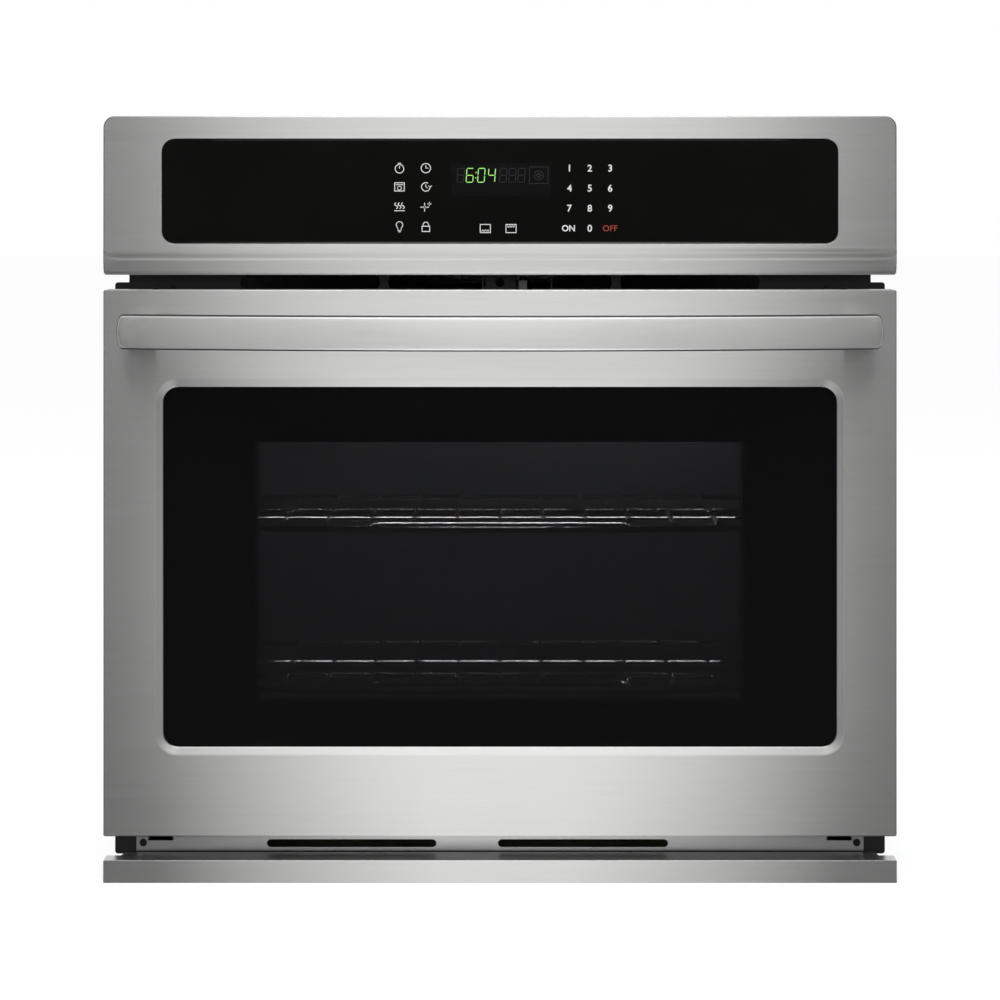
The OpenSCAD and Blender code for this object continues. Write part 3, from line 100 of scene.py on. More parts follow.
cameraSetup = {"distance": 3.6, "height": 0.656, "lens": 135.0, "sensor": 36.0, "shiftY": -0.3}


def makeCamera():
    data = bpy.data.cameras.new("productCamera")
    data.lens = cameraSetup["lens"]
    data.sensor_width = cameraSetup["sensor"]
    data.shift_y = cameraSetup["shiftY"]
    cam = bpy.data.objects.new("productCamera", data)
    cam.location = (0, doorFront - cameraSetup["distance"], cameraSetup["height"])
    cam.rotation_euler = (math.radians(90), 0, 0)
    scene.collection.objects.link(cam)
    scene.camera = cam


studio = {
    "floorColor": (0.93, 0.93, 0.93), "floorHalf": 40.0, "floorGlow": 0.4, "worldLight": 0.62,
    # each lamp's power, place, aim and two sides
    "keyLight": (42.0, (0, -1.4, 2.9), (0, 0, 0.3), (2.2, 1.4)),
    "frontLight": (3.1, (0, -2.7, 1.42), (0, 0, 0.35), (0.8, 1.1)),
    # the cavity's lamp hangs this far behind the cavity's front and under its ceiling
    "cavityPower": 2.4, "cavityBehind": 0.07, "cavityUnder": 0.05, "cavityAim": 0.25,
    "cavitySides": (0.5, 0.03),
    # cards, with their reach before the door
    "cardColor": (0.02, 0.02, 0.02), "sideCardX": 0.545, "sideCardReach": (0.05, 2.0),
    "sideCardHeight": 2.6, "backCardWidth": 1.6, "backCardHeight": 0.85,
    "floorCard": (-0.02, 3.4), "floorCardZ": 0.0006,
    # the side cards' glow rises over the first span before the door and ends over the second
    "sideGlow": 0.7, "sideRise": (0.22, 0.9), "sideEnd": (1.15, 0.95),
    # the floor card glows where the steel looks down at it: its glow near and far, where that
    # starts, how much narrower it gets near the door, and its half width and reach
    "patchGlow": (1.4, 3.6), "patchStart": 0.15, "patchNarrow": 0.1, "narrowSpan": (0.45, 0.1),
    "patchWidth": (0.16, 0.43), "patchReach": (0.62, 0.85),
}


def makeAreaLight(name, power, place, aim, sides):
    data = bpy.data.lights.new(name, "AREA")
    data.energy = power
    data.shape = "RECTANGLE"
    data.size, data.size_y = sides
    lamp = bpy.data.objects.new(name, data)
    lamp.location = place
    lamp.rotation_euler = (Vector(aim) - Vector(place)).to_track_quat("-Z", "Y").to_euler()
    lamp.visible_camera = False
    scene.collection.objects.link(lamp)


def whenSeen(tree):
    # 1 for rays that show in the picture, straight or through mirror and glass, 0 for the rest
    rays = addNode(tree, "ShaderNodeLightPath").outputs
    straight = mathNode(tree, "MAXIMUM", rays["Is Camera Ray"], rays["Is Glossy Ray"])
    return mathNode(tree, "MAXIMUM", straight, rays["Is Transmission Ray"])


def makeWorld():
    world = bpy.data.worlds.new("studioWorld")
    world.use_nodes = True
    tree = world.node_tree
    tree.nodes.clear()
    mix = feed(tree, addNode(tree, "ShaderNodeMixShader"), {0: whenSeen(tree)})
    for place, strength in ((1, studio["worldLight"]), (2, 1.0)):
        white = addNode(tree, "ShaderNodeBackground")
        feed(tree, white, {"Color": (1, 1, 1), "Strength": strength})
        feed(tree, mix, {place: white.outputs[0]})
    feed(tree, addNode(tree, "ShaderNodeOutputWorld"), {"Surface": mix.outputs[0]})
    world.cycles.sampling_method = "NONE"
    scene.world = world


def spanValue(tree, place, span, outLow=0.0, outHigh=1.0):
    # a ramp between two distances before the door
    start, end = [doorFront - reach for reach in span]
    return rampValue(tree, place["Y"], start, end, outLow, outHigh)


def floorLight(tree, place):
    return mathNode(tree, "MULTIPLY", whenSeen(tree), studio["floorGlow"])


def sideLight(tree, place):
    rise = spanValue(tree, place, studio["sideRise"], 0.0, studio["sideGlow"])
    return mathNode(tree, "MULTIPLY", rise, spanValue(tree, place, studio["sideEnd"]))


def patchLight(tree, place):
    narrow = spanValue(tree, place, studio["narrowSpan"], 0.0, studio["patchNarrow"])
    aside = mathNode(tree, "ADD", mathNode(tree, "ABSOLUTE", place["X"]), narrow)
    cover = mathNode(tree, "MAXIMUM", rampValue(tree, aside, *studio["patchWidth"]),
                     spanValue(tree, place, studio["patchReach"]))
    span = (studio["patchStart"], studio["patchReach"][0])
    lit = spanValue(tree, place, span, *studio["patchGlow"])
    return rampValue(tree, cover, 0.0, 1.0, lit, 0.0)


def matteMaterial(name, color, roughness, light=None):
    mat, tree, shader, coords = startMaterial(name)
    feed(tree, shader, {"Base Color": color, "Roughness": roughness, "Specular IOR Level": 0.0})
    if light:
        feed(tree, shader, {"Emission Color": (1, 1, 1),
                            "Emission Strength": light(tree, splitXYZ(tree, coords))})
    return mat


def makeCard(name, corners, material):
    bm = bmesh.new()
    bm.faces.new([bm.verts.new(c) for c in corners])
    mesh = bpy.data.meshes.new(name)
    bm.to_mesh(mesh)
    bm.free()
    mesh.materials.append(material)
    card = bpy.data.objects.new(name, mesh)
    scene.collection.objects.link(card)
    return card


def makeStudio():
    s = studio
    half = s["floorHalf"]
    makeCard("studioFloor", [(-half, -half, 0), (half, -half, 0), (half, half, 0), (-half, half, 0)],
             matteMaterial("floorPaper", s["floorColor"], 0.9, floorLight))
    # dark cards that only show in polished surfaces, so that steel and glass get their shape
    dark = matteMaterial("darkCard", s["cardColor"], 1.0)
    patch = matteMaterial("darkCardPatch", s["cardColor"], 1.0, patchLight)
    side = matteMaterial("sideCard", s["cardColor"], 1.0, sideLight)
    near, far = [doorFront - r for r in s["sideCardReach"]]
    start, end = [doorFront - r for r in s["floorCard"]]
    wide, high, low = s["backCardWidth"] / 2, s["backCardHeight"], s["floorCardZ"]
    cards = [makeCard("cardBack", [(-wide, end, 0), (wide, end, 0), (wide, end, high),
                                   (-wide, end, high)], dark),
             makeCard("cardFloor", [(-wide, start, low), (wide, start, low), (wide, end, low),
                                    (-wide, end, low)], patch)]
    for name, x in (("cardLeft", -s["sideCardX"]), ("cardRight", s["sideCardX"])):
        top = s["sideCardHeight"]
        corners = [(x, near, 0), (x, far, 0), (x, far, top), (x, near, top)]
        cards.append(makeCard(name, corners, side))
    for card in cards:
        card.visible_camera = False
        card.visible_diffuse = False
        card.visible_shadow = False
        card.visible_transmission = False
    makeAreaLight("keyLight", *s["keyLight"])
    makeAreaLight("frontLight", *s["frontLight"])
    low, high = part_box("cavity_liner")
    place = (0, low.y + s["cavityBehind"], high.z - s["cavityUnder"])
    makeAreaLight("cavityLight", s["cavityPower"], place, (0, high.y, s["cavityAim"]),
                  s["cavitySides"])


makeCamera()
makeWorld()
makeStudio()
print("camera, world and studio made")


def newGroup(name, setting, value, outputs):
    # every group takes a vector and one number and gives masks
    group = bpy.data.node_groups.new(name, "ShaderNodeTree")
    group.interface.new_socket("Vector", in_out="INPUT", socket_type="NodeSocketVector")
    number = group.interface.new_socket(setting, in_out="INPUT", socket_type="NodeSocketFloat")
    number.default_value = value
    for label in outputs:
        group.interface.new_socket(label, in_out="OUTPUT", socket_type="NodeSocketFloat")
    return group, addNode(group, "NodeGroupInput").outputs, addNode(group, "NodeGroupOutput")


def scaledVector(tree, vector, scale):
    node = addNode(tree, "ShaderNodeMapping", vector_type="POINT")
    return feed(tree, node, {"Scale": scale, "Vector": vector}).outputs[0]


def noiseValue(tree, vector, scale, detail=2.0, rough=0.5):
    node = addNode(tree, "ShaderNodeTexNoise")
    feed(tree, node, {"Vector": vector, "Scale": scale, "Detail": detail, "Roughness": rough})
    return node.outputs["Fac"]


def cellsOf(tree, vector, scale, feature="F1"):
    node = addNode(tree, "ShaderNodeTexVoronoi", feature=feature)
    return feed(tree, node, {"Vector": vector, "Scale": scale}).outputs


def redOf(tree, color):
    return feed(tree, addNode(tree, "ShaderNodeSeparateColor"), {0: color}).outputs[0]


def makeGrainGroup():
    # long scratches along X, with a few coarser ones between them
    group, start, end = newGroup("brushedGrain", "Fineness", 1.0, ("Grain", "Streaks"))
    scaled = addNode(group, "ShaderNodeVectorMath", operation="SCALE")
    sized = feed(group, scaled, {0: start["Vector"], "Scale": start["Fineness"]}).outputs[0]
    fine = noiseValue(group, scaledVector(group, sized, (14, 900, 1500)), 1.0, 3.0, 0.7)
    coarse = noiseValue(group, scaledVector(group, sized, (5, 260, 330)), 1.0, 2.0, 0.6)
    both = mathNode(group, "MULTIPLY_ADD", coarse, 0.4, mathNode(group, "MULTIPLY", fine, 0.6))
    feed(group, end, {"Grain": both, "Streaks": rampValue(group, coarse, 0.35, 0.65)})
    return group


def makeSmudgeGroup():
    # broad faint patches, as from cloths and hands
    group, start, end = newGroup("softSmudge", "Size", 6.0, ("Smudge",))
    patches = noiseValue(group, start["Vector"], start["Size"], 4.0, 0.55)
    feed(group, end, {"Smudge": rampValue(group, patches, 0.35, 0.65)})
    return group


def makeSpangleGroup():
    # the frosted crystals of galvanised sheet
    group, start, end = newGroup("zincSpangle", "Crystal Scale", 90.0, ("Crystal", "Edge"))
    cells, borders = [cellsOf(group, start["Vector"], start["Crystal Scale"], feature)
                      for feature in ("F1", "DISTANCE_TO_EDGE")]
    feed(group, end, {"Crystal": redOf(group, cells["Color"]),
                      "Edge": rampValue(group, borders["Distance"], 0.0, 0.08)})
    return group


def makeSpeckleGroup():
    # pale fused specks in dark enamel
    group, start, end = newGroup("enamelSpeckle", "Speck Scale", 420.0, ("Speck", "Ripple"))
    cells = cellsOf(group, start["Vector"], start["Speck Scale"])
    chosen = mathNode(group, "GREATER_THAN", redOf(group, cells["Color"]), 0.72)
    near = rampValue(group, cells["Distance"], 0.16, 0.3, 1.0, 0.0)
    feed(group, end, {"Speck": mathNode(group, "MULTIPLY", chosen, near),
                      "Ripple": noiseValue(group, start["Vector"], 60.0)})
    return group


grainGroup = makeGrainGroup()
smudgeGroup = makeSmudgeGroup()
spangleGroup = makeSpangleGroup()
speckleGroup = makeSpeckleGroup()
print("shader groups made")


def useGroup(tree, group, vector, setting, value):
    node = addNode(tree, "ShaderNodeGroup", node_tree=group)
    return feed(tree, node, {"Vector": vector, setting: value}).outputs


def mixColor(tree, factor, a, b):
    node = addNode(tree, "ShaderNodeMix", data_type="RGBA")
    return feed(tree, node, {0: factor, 6: a, 7: b}).outputs[2]


def bumpOf(tree, height, strength, distance):
    node = addNode(tree, "ShaderNodeBump")
    feed(tree, node, {"Strength": strength, "Distance": distance, "Height": height})
    return node.outputs[0]


def multiplyAdd(tree, value, factor, base):
    return mathNode(tree, "MULTIPLY_ADD", value, factor, base)


def smudgeOf(tree, vector, size):
    return useGroup(tree, smudgeGroup, vector, "Size", size)[0]


def brushedSteel(name, look):
    mat, tree, shader, coords = startMaterial(name)
    grain = useGroup(tree, grainGroup, coords, "Fineness", look["fineness"])
    smudge = smudgeOf(tree, coords, look["smudgeSize"])
    tint = mixColor(tree, grain["Grain"], look["dark"], look["light"])
    if "upright" in look:
        # painted shade: the piece says where its runs are upright, and there the steel's colour is
        # darkened to stand in for their shade
        upright = addNode(tree, "ShaderNodeAttribute", attribute_name="upright")
        tint = mixColor(tree, upright.outputs["Fac"], tint, look["upright"])
    along = feed(tree, addNode(tree, "ShaderNodeCombineXYZ"), {"X": 1.0})
    rough = multiplyAdd(tree, smudge, look["smudge"], look["roughness"])
    feed(tree, shader, {
        "Base Color": tint, "Metallic": 1.0, "Anisotropic": look["stretch"],
        "Anisotropic Rotation": 0.25, "Tangent": along.outputs[0],
        "Roughness": multiplyAdd(tree, grain["Streaks"], look["streak"], rough),
        "Normal": bumpOf(tree, grain["Grain"], look["bump"], 0.02 * mm)})
    return mat


def zincSheet(name, look):
    mat, tree, shader, coords = startMaterial(name)
    spangle = useGroup(tree, spangleGroup, coords, "Crystal Scale", look["crystals"])
    smudge = smudgeOf(tree, coords, 5.0)
    tint = mixColor(tree, spangle["Crystal"], look["dark"], look["light"])
    rough = multiplyAdd(tree, spangle["Crystal"], 0.16, look["roughness"])
    feed(tree, shader, {
        "Base Color": mixColor(tree, spangle["Edge"], look["edge"], tint), "Metallic": 0.9,
        "Roughness": multiplyAdd(tree, smudge, 0.08, rough),
        "Normal": bumpOf(tree, spangle["Crystal"], 0.12, 0.05 * mm)})
    return mat


def enamel(name, look):
    mat, tree, shader, coords = startMaterial(name)
    speckle = useGroup(tree, speckleGroup, coords, "Speck Scale", look["specks"])
    smudge = smudgeOf(tree, coords, 9.0)
    ground = mixColor(tree, smudge, look["dark"], look["light"])
    feed(tree, shader, {
        "Base Color": mixColor(tree, speckle["Speck"], ground, look["speck"]),
        "Roughness": multiplyAdd(tree, smudge, 0.05, look["roughness"]),
        "Normal": bumpOf(tree, speckle["Ripple"], look["bump"], 0.3 * mm)})
    return mat


def plainFinish(name, look):
    # paint, plastic, ceramic, plate: two near tones, a fine bump and uneven gloss
    mat, tree, shader, coords = startMaterial(name)
    smudge = smudgeOf(tree, coords, look.get("patch", 12.0))
    fine = noiseValue(tree, coords, look.get("fine", 900.0))
    feed(tree, shader, {
        "Base Color": mixColor(tree, smudge, look["dark"], look["light"]),
        "Roughness": multiplyAdd(tree, fine, look.get("roughSpread", 0.12), look["roughness"]),
        "Metallic": look.get("metal", 0.0),
        "Normal": bumpOf(tree, fine, look.get("bump", 0.1), look.get("bumpDepth", 0.05) * mm)})
    return mat


def glassMaterial(name, look):
    # printed black border with a clear middle; the print breaks into dots along three sides
    mat, tree, shader, coords = startMaterial(name)

    def calc(operation, *values):
        return mathNode(tree, operation, *values)
    place, band = splitXYZ(tree, coords), look["band"]
    fromSide = calc("SUBTRACT", calc("ABSOLUTE", place["X"]), look["half"] - band)
    fromLow = calc("SUBTRACT", look["low"] + band, place["Z"])
    inBand = calc("DIVIDE", calc("MAXIMUM", fromSide, fromLow), band)
    cells = [calc("SUBTRACT", calc("FRACT", calc("DIVIDE", place[axis], look["pitch"])), 0.5)
             for axis in "XZ"]
    reach = calc("SQRT", calc("ADD", *[calc("MULTIPLY", cell, cell) for cell in cells]))
    dots = calc("LESS_THAN", reach, calc("MULTIPLY", inBand, look["dotSize"]))
    full = calc("GREATER_THAN", inBand, 1.0)
    above = calc("GREATER_THAN", place["Z"], look["high"])
    ink = calc("MAXIMUM", calc("MAXIMUM", dots, full), above)
    smudge = smudgeOf(tree, coords, 7.0)
    feed(tree, shader, {
        "Alpha": calc("MULTIPLY_ADD", ink, 1.0 - look["clear"], look["clear"]),
        "Base Color": mixColor(tree, ink, look["tint"], look["ink"]),
        "Roughness": calc("MULTIPLY_ADD", smudge, look["smudge"], look["roughness"]),
        "IOR": 1.5})
    return mat


def thinGlass(name, look):
    mat, tree, shader, coords = startMaterial(name)
    smudge = smudgeOf(tree, coords, 8.0)
    feed(tree, shader, {"Roughness": multiplyAdd(tree, smudge, 0.03, look["roughness"]),
                        "Base Color": look["tint"], "Alpha": look["alpha"], "IOR": 1.5})
    return mat


def bulbGlass(name):
    mat, tree, shader, coords = startMaterial(name)
    ripple = bumpOf(tree, noiseValue(tree, coords, 90.0), 0.15, 0.2 * mm)
    feed(tree, shader, {"Base Color": (0.96, 0.96, 0.94), "Transmission Weight": 1.0,
                        "Roughness": 0.04, "Normal": ripple})
    return mat


def glowMaterial(name, color, strength):
    mat, tree, shader, coords = startMaterial(name)
    uneven = noiseValue(tree, coords, 700.0)
    feed(tree, shader, {"Base Color": color, "Emission Color": color,
                        "Emission Strength": strength,
                        "Roughness": multiplyAdd(tree, uneven, 0.1, 0.35)})
    return mat


def wovenMaterial(name, look):
    # braided glass-fibre sleeve, on the piece's own UV map
    mat, tree, shader, _ = startMaterial(name)
    uv = addNode(tree, "ShaderNodeUVMap", uv_map="sleeve").outputs[0]
    strands = []
    for along in (look["along"], -look["along"]):
        wave = addNode(tree, "ShaderNodeTexWave", wave_type="BANDS", bands_direction="DIAGONAL")
        feed(tree, wave, {"Scale": look["strands"],
                          "Vector": scaledVector(tree, uv, (along, 1, 1))})
        strands.append(wave.outputs["Fac"])
    weave = mathNode(tree, "MAXIMUM", *strands)
    feed(tree, shader, {"Base Color": mixColor(tree, weave, look["dark"], look["light"]),
                        "Roughness": 0.85, "Sheen Weight": 0.3,
                        "Normal": bumpOf(tree, weave, 0.7, 0.4 * mm)})
    return mat


def fibreMaterial(name, look):
    mat, tree, shader, coords = startMaterial(name)
    tufts = noiseValue(tree, coords, 160.0, 6.0, 0.7)
    feed(tree, shader, {"Base Color": mixColor(tree, tufts, look["dark"], look["light"]),
                        "Roughness": 0.95, "Sheen Weight": 0.2,
                        "Normal": bumpOf(tree, tufts, 0.8, 1.2 * mm)})
    return mat


steelLook = {"dark": (0.47, 0.47, 0.465), "light": (0.59, 0.59, 0.585), "fineness": 1.0,
             "smudgeSize": 3.0, "stretch": 1.0, "smudge": 0.02, "streak": 0.04,
             "roughness": 0.34, "bump": 0.12}

finishes = {
    "stainless": brushedSteel("brushedStainless", steelLook),
    # painted shade: a darker copy of the door's steel for the bevel's upright runs
    "bevel_stainless_painted_shade": brushedSteel("bevelStainlessPaintedShade", {**steelLook, "upright": (0.25, 0.25, 0.247)}),
    # painted light: a much lighter copy of the door's steel, so that the handle's front renders
    # brighter
    "handle_stainless_painted_light": brushedSteel("handleStainlessPaintedLight", {
        **steelLook, "dark": (0.84, 0.84, 0.83), "light": (0.95, 0.95, 0.94), "stretch": 0.2,
        "roughness": 0.5}),
    # painted shade: a near-black copy of the handle's steel for its turned faces
    "handle_edge_painted_shade": brushedSteel("handleEdgePaintedShade", {
        **steelLook, "dark": (0.07, 0.07, 0.07), "light": (0.11, 0.11, 0.11), "stretch": 0.3,
        "roughness": 0.45}),
    "rail_stainless": brushedSteel("railStainless", {
        **steelLook, "dark": (0.5, 0.5, 0.5), "light": (0.62, 0.62, 0.615), "stretch": 0.3,
        "roughness": 0.3}),
    "black_enamel": plainFinish("blackEnamel", {
        "dark": (0.008, 0.008, 0.009), "light": (0.012, 0.012, 0.013), "roughness": 0.34,
        "bump": 0.12, "bumpDepth": 0.08, "fine": 420.0}),
    "galvanised": zincSheet("galvanisedSheet", {
        "dark": (0.38, 0.39, 0.4), "light": (0.5, 0.51, 0.52), "edge": (0.43, 0.44, 0.45),
        "roughness": 0.34, "crystals": 75.0}),
    "cavity_enamel": enamel("cavityEnamel", {
        "dark": (0.023, 0.024, 0.026), "light": (0.027, 0.028, 0.031), "speck": (0.26, 0.27, 0.3),
        "specks": 380.0, "roughness": 0.22, "bump": 0.25}),
    "insulation": fibreMaterial("mineralWool", {
        "dark": (0.42, 0.35, 0.16), "light": (0.78, 0.7, 0.42)}),
    "gasket": wovenMaterial("gasketSleeve", {
        "dark": (0.02, 0.02, 0.02), "light": (0.12, 0.12, 0.115), "strands": 5.0, "along": 1.0}),
    "element": plainFinish("elementSheath", {
        "dark": (0.05, 0.047, 0.045), "light": (0.11, 0.105, 0.1), "roughness": 0.42,
        "metal": 0.6, "patch": 40.0, "bump": 0.25}),
    "plain_steel": plainFinish("platedSteel", {
        "dark": (0.46, 0.46, 0.44), "light": (0.6, 0.6, 0.57), "roughness": 0.28,
        "metal": 1.0, "patch": 25.0}),
    "dark_zinc": plainFinish("darkZinc", {
        "dark": (0.07, 0.07, 0.072), "light": (0.12, 0.12, 0.12), "roughness": 0.4,
        "metal": 1.0, "patch": 30.0}),
    "black_screw": plainFinish("blackScrew", {
        "dark": (0.01, 0.01, 0.01), "light": (0.018, 0.018, 0.018), "roughness": 0.4,
        "metal": 0.3, "patch": 60.0}),
    "wire": plainFinish("rackWire", {
        "dark": (0.24, 0.24, 0.235), "light": (0.32, 0.32, 0.315), "roughness": 0.05,
        "roughSpread": 0.05, "metal": 1.0, "patch": 30.0, "bump": 0.02}),
    "ceramic": plainFinish("lampCeramic", {
        "dark": (0.72, 0.7, 0.63), "light": (0.82, 0.8, 0.74), "roughness": 0.6, "bump": 0.2}),
    "bulb_glass": bulbGlass("bulbGlass"),
    "clear_glass": thinGlass("innerPane", {
        "tint": (0.05, 0.055, 0.05), "alpha": 0.08, "roughness": 0.02}),
    "motor_steel": plainFinish("motorLaminations", {
        "dark": (0.08, 0.08, 0.09), "light": (0.16, 0.16, 0.17), "roughness": 0.4,
        "metal": 0.7, "patch": 30.0}),
    "blower_steel": zincSheet("blowerSheet", {
        "dark": (0.5, 0.51, 0.52), "light": (0.62, 0.63, 0.64), "edge": (0.55, 0.56, 0.57),
        "roughness": 0.3, "crystals": 140.0}),
    "white_plastic": plainFinish("whiteNylon", {
        "dark": (0.66, 0.66, 0.62), "light": (0.74, 0.74, 0.7), "roughness": 0.45}),
    "black_plastic": plainFinish("blackMoulding", {
        "dark": (0.014, 0.014, 0.015), "light": (0.022, 0.022, 0.023), "roughness": 0.5,
        "bump": 0.2}),
    "board": plainFinish("solderMask", {
        "dark": (0.02, 0.13, 0.06), "light": (0.03, 0.18, 0.09), "roughness": 0.35,
        "fine": 260.0}),
    "display": plainFinish("displayLens", {
        "dark": (0.004, 0.008, 0.006), "light": (0.006, 0.011, 0.008), "roughness": 0.12,
        "bump": 0.02}),
}
print("materials made:", len(finishes))

# beside a face this much smaller and this much turned, a face this wide keeps its own normal
flatRule = {"turn": 0.07, "area": 8e-6, "ratio": 8}


def newPiece(bm, name, body, mats, replaced=(), smooth=32, wall=None, flats=True):
    for face in bm.faces:
        face.smooth = True
    limit = math.radians(smooth)
    bm.normal_update()
    for edge in bm.edges:
        if len(edge.link_faces) != 2:
            edge.smooth = False
            continue
        turn = edge.calc_face_angle(0)
        small, big = sorted(face.calc_area() for face in edge.link_faces)
        wide = big > flatRule["area"] and big > flatRule["ratio"] * small
        if turn > limit or (flats and turn > flatRule["turn"] and wide):
            edge.smooth = False
    mesh = bpy.data.meshes.new(name)
    bm.to_mesh(mesh)
    bm.free()
    for mat in mats:
        mesh.materials.append(mat)
    obj = bpy.data.objects.new(name, mesh)
    scene.collection.objects.link(obj)
    if wall:
        solid = obj.modifiers.new("sheetWall", "SOLIDIFY")
        solid.thickness = wall
        solid.offset = -1.0
    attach(obj, body)
    if replaced:
        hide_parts(*replaced)
    return obj


def rotateBy(bm, verts, angle, axis, about=(0, 0, 0)):
    bmesh.ops.rotate(bm, cent=about, matrix=Matrix.Rotation(angle, 3, axis), verts=verts)


def shiftBy(bm, verts, x=0, y=0, z=0):
    bmesh.ops.translate(bm, vec=(x, y, z), verts=verts)


def bevel(bm, geom, size, segments, affect="EDGES"):
    return bmesh.ops.bevel(bm, geom=geom, offset=size, offset_type="OFFSET", segments=segments,
                           profile=0.5, affect=affect, material=-1)


def sharpEdges(bm):
    return [ed for ed in bm.edges if len(ed.link_faces) == 2 and ed.calc_face_angle(0) > 1.2]


def vertsIn(geom):
    return [g for g in geom if isinstance(g, bmesh.types.BMVert)]


def sliceFaces(bm, faces, point, normal, dist=1e-6):
    geom = list(dict.fromkeys(faces + [e for f in faces for e in f.edges] +
                              [v for f in faces for v in f.verts]))
    bmesh.ops.bisect_plane(bm, geom=geom, dist=dist, plane_co=point, plane_no=normal)


def unitSheet(bm, wide, high, lean=0.0):
    # an upright sheet round the origin that looks towards -Y
    verts = bmesh.ops.create_grid(bm, x_segments=1, y_segments=1, size=0.5)["verts"]
    bmesh.ops.scale(bm, vec=(wide, high, 1), verts=verts)
    rotateBy(bm, verts, lean, "Z")
    rotateBy(bm, verts, math.pi / 2, "X")
    return verts


def uprightSheet(bm, x, z, y, radius, segments=7):
    # one rounded face in X and Z that looks towards -Y
    verts = unitSheet(bm, x[1] - x[0], z[1] - z[0])
    shiftBy(bm, verts, (x[0] + x[1]) / 2, y, (z[0] + z[1]) / 2)
    made = bevel(bm, verts, radius, segments, "VERTICES")
    return next(f for f in bm.faces if f in set(made["faces"]) or
                all(v in set(made["verts"]) for v in f.verts))


def ring(x, z, radii, y):
    if not isinstance(radii, tuple):
        radii = (radii, radii)
    if not isinstance(y, tuple):
        y = (y, y)
    return {"x": x, "z": z, "radii": radii, "y": y}


def ringPlace(co, old, new):
    # carries a point of one rounded outline to the same place on the next one
    top = 0 if co.z > sum(old["z"]) / 2 else 1
    r0, r1 = old["radii"][top], new["radii"][top]
    place = {}
    for axis, value in (("x", co.x), ("z", co.z)):
        side = 1 if value > sum(old[axis]) / 2 else 0
        sign = 1 if side else -1
        past = (value - (old[axis][side] - sign * r0)) * sign
        place[axis] = value
        if past >= -1e-7:
            place[axis] = new[axis][side] - sign * r1 + sign * past * (r1 / r0 if r0 else 1)
    return Vector((place["x"], new["y"][top], place["z"]))


def extrudeLine(bm, edges):
    made = bmesh.ops.extrude_edge_only(bm, edges=edges)["geom"]
    verts = vertsIn(made)
    edges = [g for g in made if isinstance(g, bmesh.types.BMEdge)
             and g.verts[0] in set(verts) and g.verts[1] in set(verts)]
    return verts, edges


def grownFrom(rings, segments=7):
    # a surface that runs through rounded outlines, one after another
    bm = bmesh.new()
    first = rings[0]
    face = uprightSheet(bm, first["x"], first["z"], first["y"][0], first["radii"][0], segments)
    edges = list(face.edges)
    for old, new in zip(rings, rings[1:]):
        verts, edges = extrudeLine(bm, edges)
        for v in verts:
            v.co = ringPlace(v.co, old, new)
    bmesh.ops.delete(bm, geom=[face], context="FACES_ONLY")
    return bm


def faceOut(bm):
    # the widest face that lies across Y at the front has to look to -Y
    bm.normal_update()
    bmesh.ops.recalc_face_normals(bm, faces=bm.faces[:])
    bm.normal_update()
    front = min(bm.faces, key=lambda f: (round(f.calc_center_median().y, 4), -f.calc_area()))
    if front.normal.y > 0:
        bmesh.ops.reverse_faces(bm, faces=bm.faces[:])


def cutBox(bm, low, high, inside):
    # slices the chosen faces along a box's sides and removes what lies in it
    for axis in range(3):
        for value, side in ((low[axis], -1), (high[axis], 1)):
            if value is None:
                continue
            normal = [side * (i == axis) for i in range(3)]
            point = [value * (i == axis) for i in range(3)]
            sliceFaces(bm, [f for f in bm.faces if inside(f.calc_center_median())], point, normal)

    def within(c):
        return all((lo is None or c[i] > lo) and (hi is None or c[i] < hi)
                   for i, (lo, hi) in enumerate(zip(low, high)))
    gone = [f for f in bm.faces if inside(f.calc_center_median())
            and within(f.calc_center_median())]
    bmesh.ops.delete(bm, geom=gone, context="FACES")


# points of a rounded edge, as parts of its radius: inset from the side, depth from the front
roundedEdge = [(1, 0), (0.62, 0.076), (0.29, 0.29), (0.076, 0.62), (0, 1)]

doorSkin = {"edge": 1.0 * mm, "corner": 2.2 * mm, "wall": 0.9 * mm, "bevelWidth": 7.5 * mm,
            "bevelDepth": 1.9 * mm, "rimWidth": 0.9 * mm, "openingDepth": 4.4 * mm,
            "openingRadius": 14.5 * mm, "sideInset": 57.5 * mm, "lowInset": 85.5 * mm,
            "highInset": 93.1 * mm,
            # the bevel's points, in millimetres: out from the opening and past the bevel's depth,
            # then short of its outer end and behind the front
            "bevelInner": [(0, 0.35), (0.35, 0), (1.2, -0.15)],
            "bevelOuter": [(1.4, 0.35), (0.4, 0.1)],
            # the latch's slot: half width, reach of its wide part, start before the hook, depth
            "latchHalf": 8 * mm, "latchReach": 26 * mm, "latchBefore": 3 * mm,
            "latchDepth": 13.5 * mm,
            # the hinge slots: width, middle from the channels' side, distance behind the front
            "hingeWidth": 24.4 * mm, "hingeInset": 11 * mm, "hingeBehind": 16 * mm}


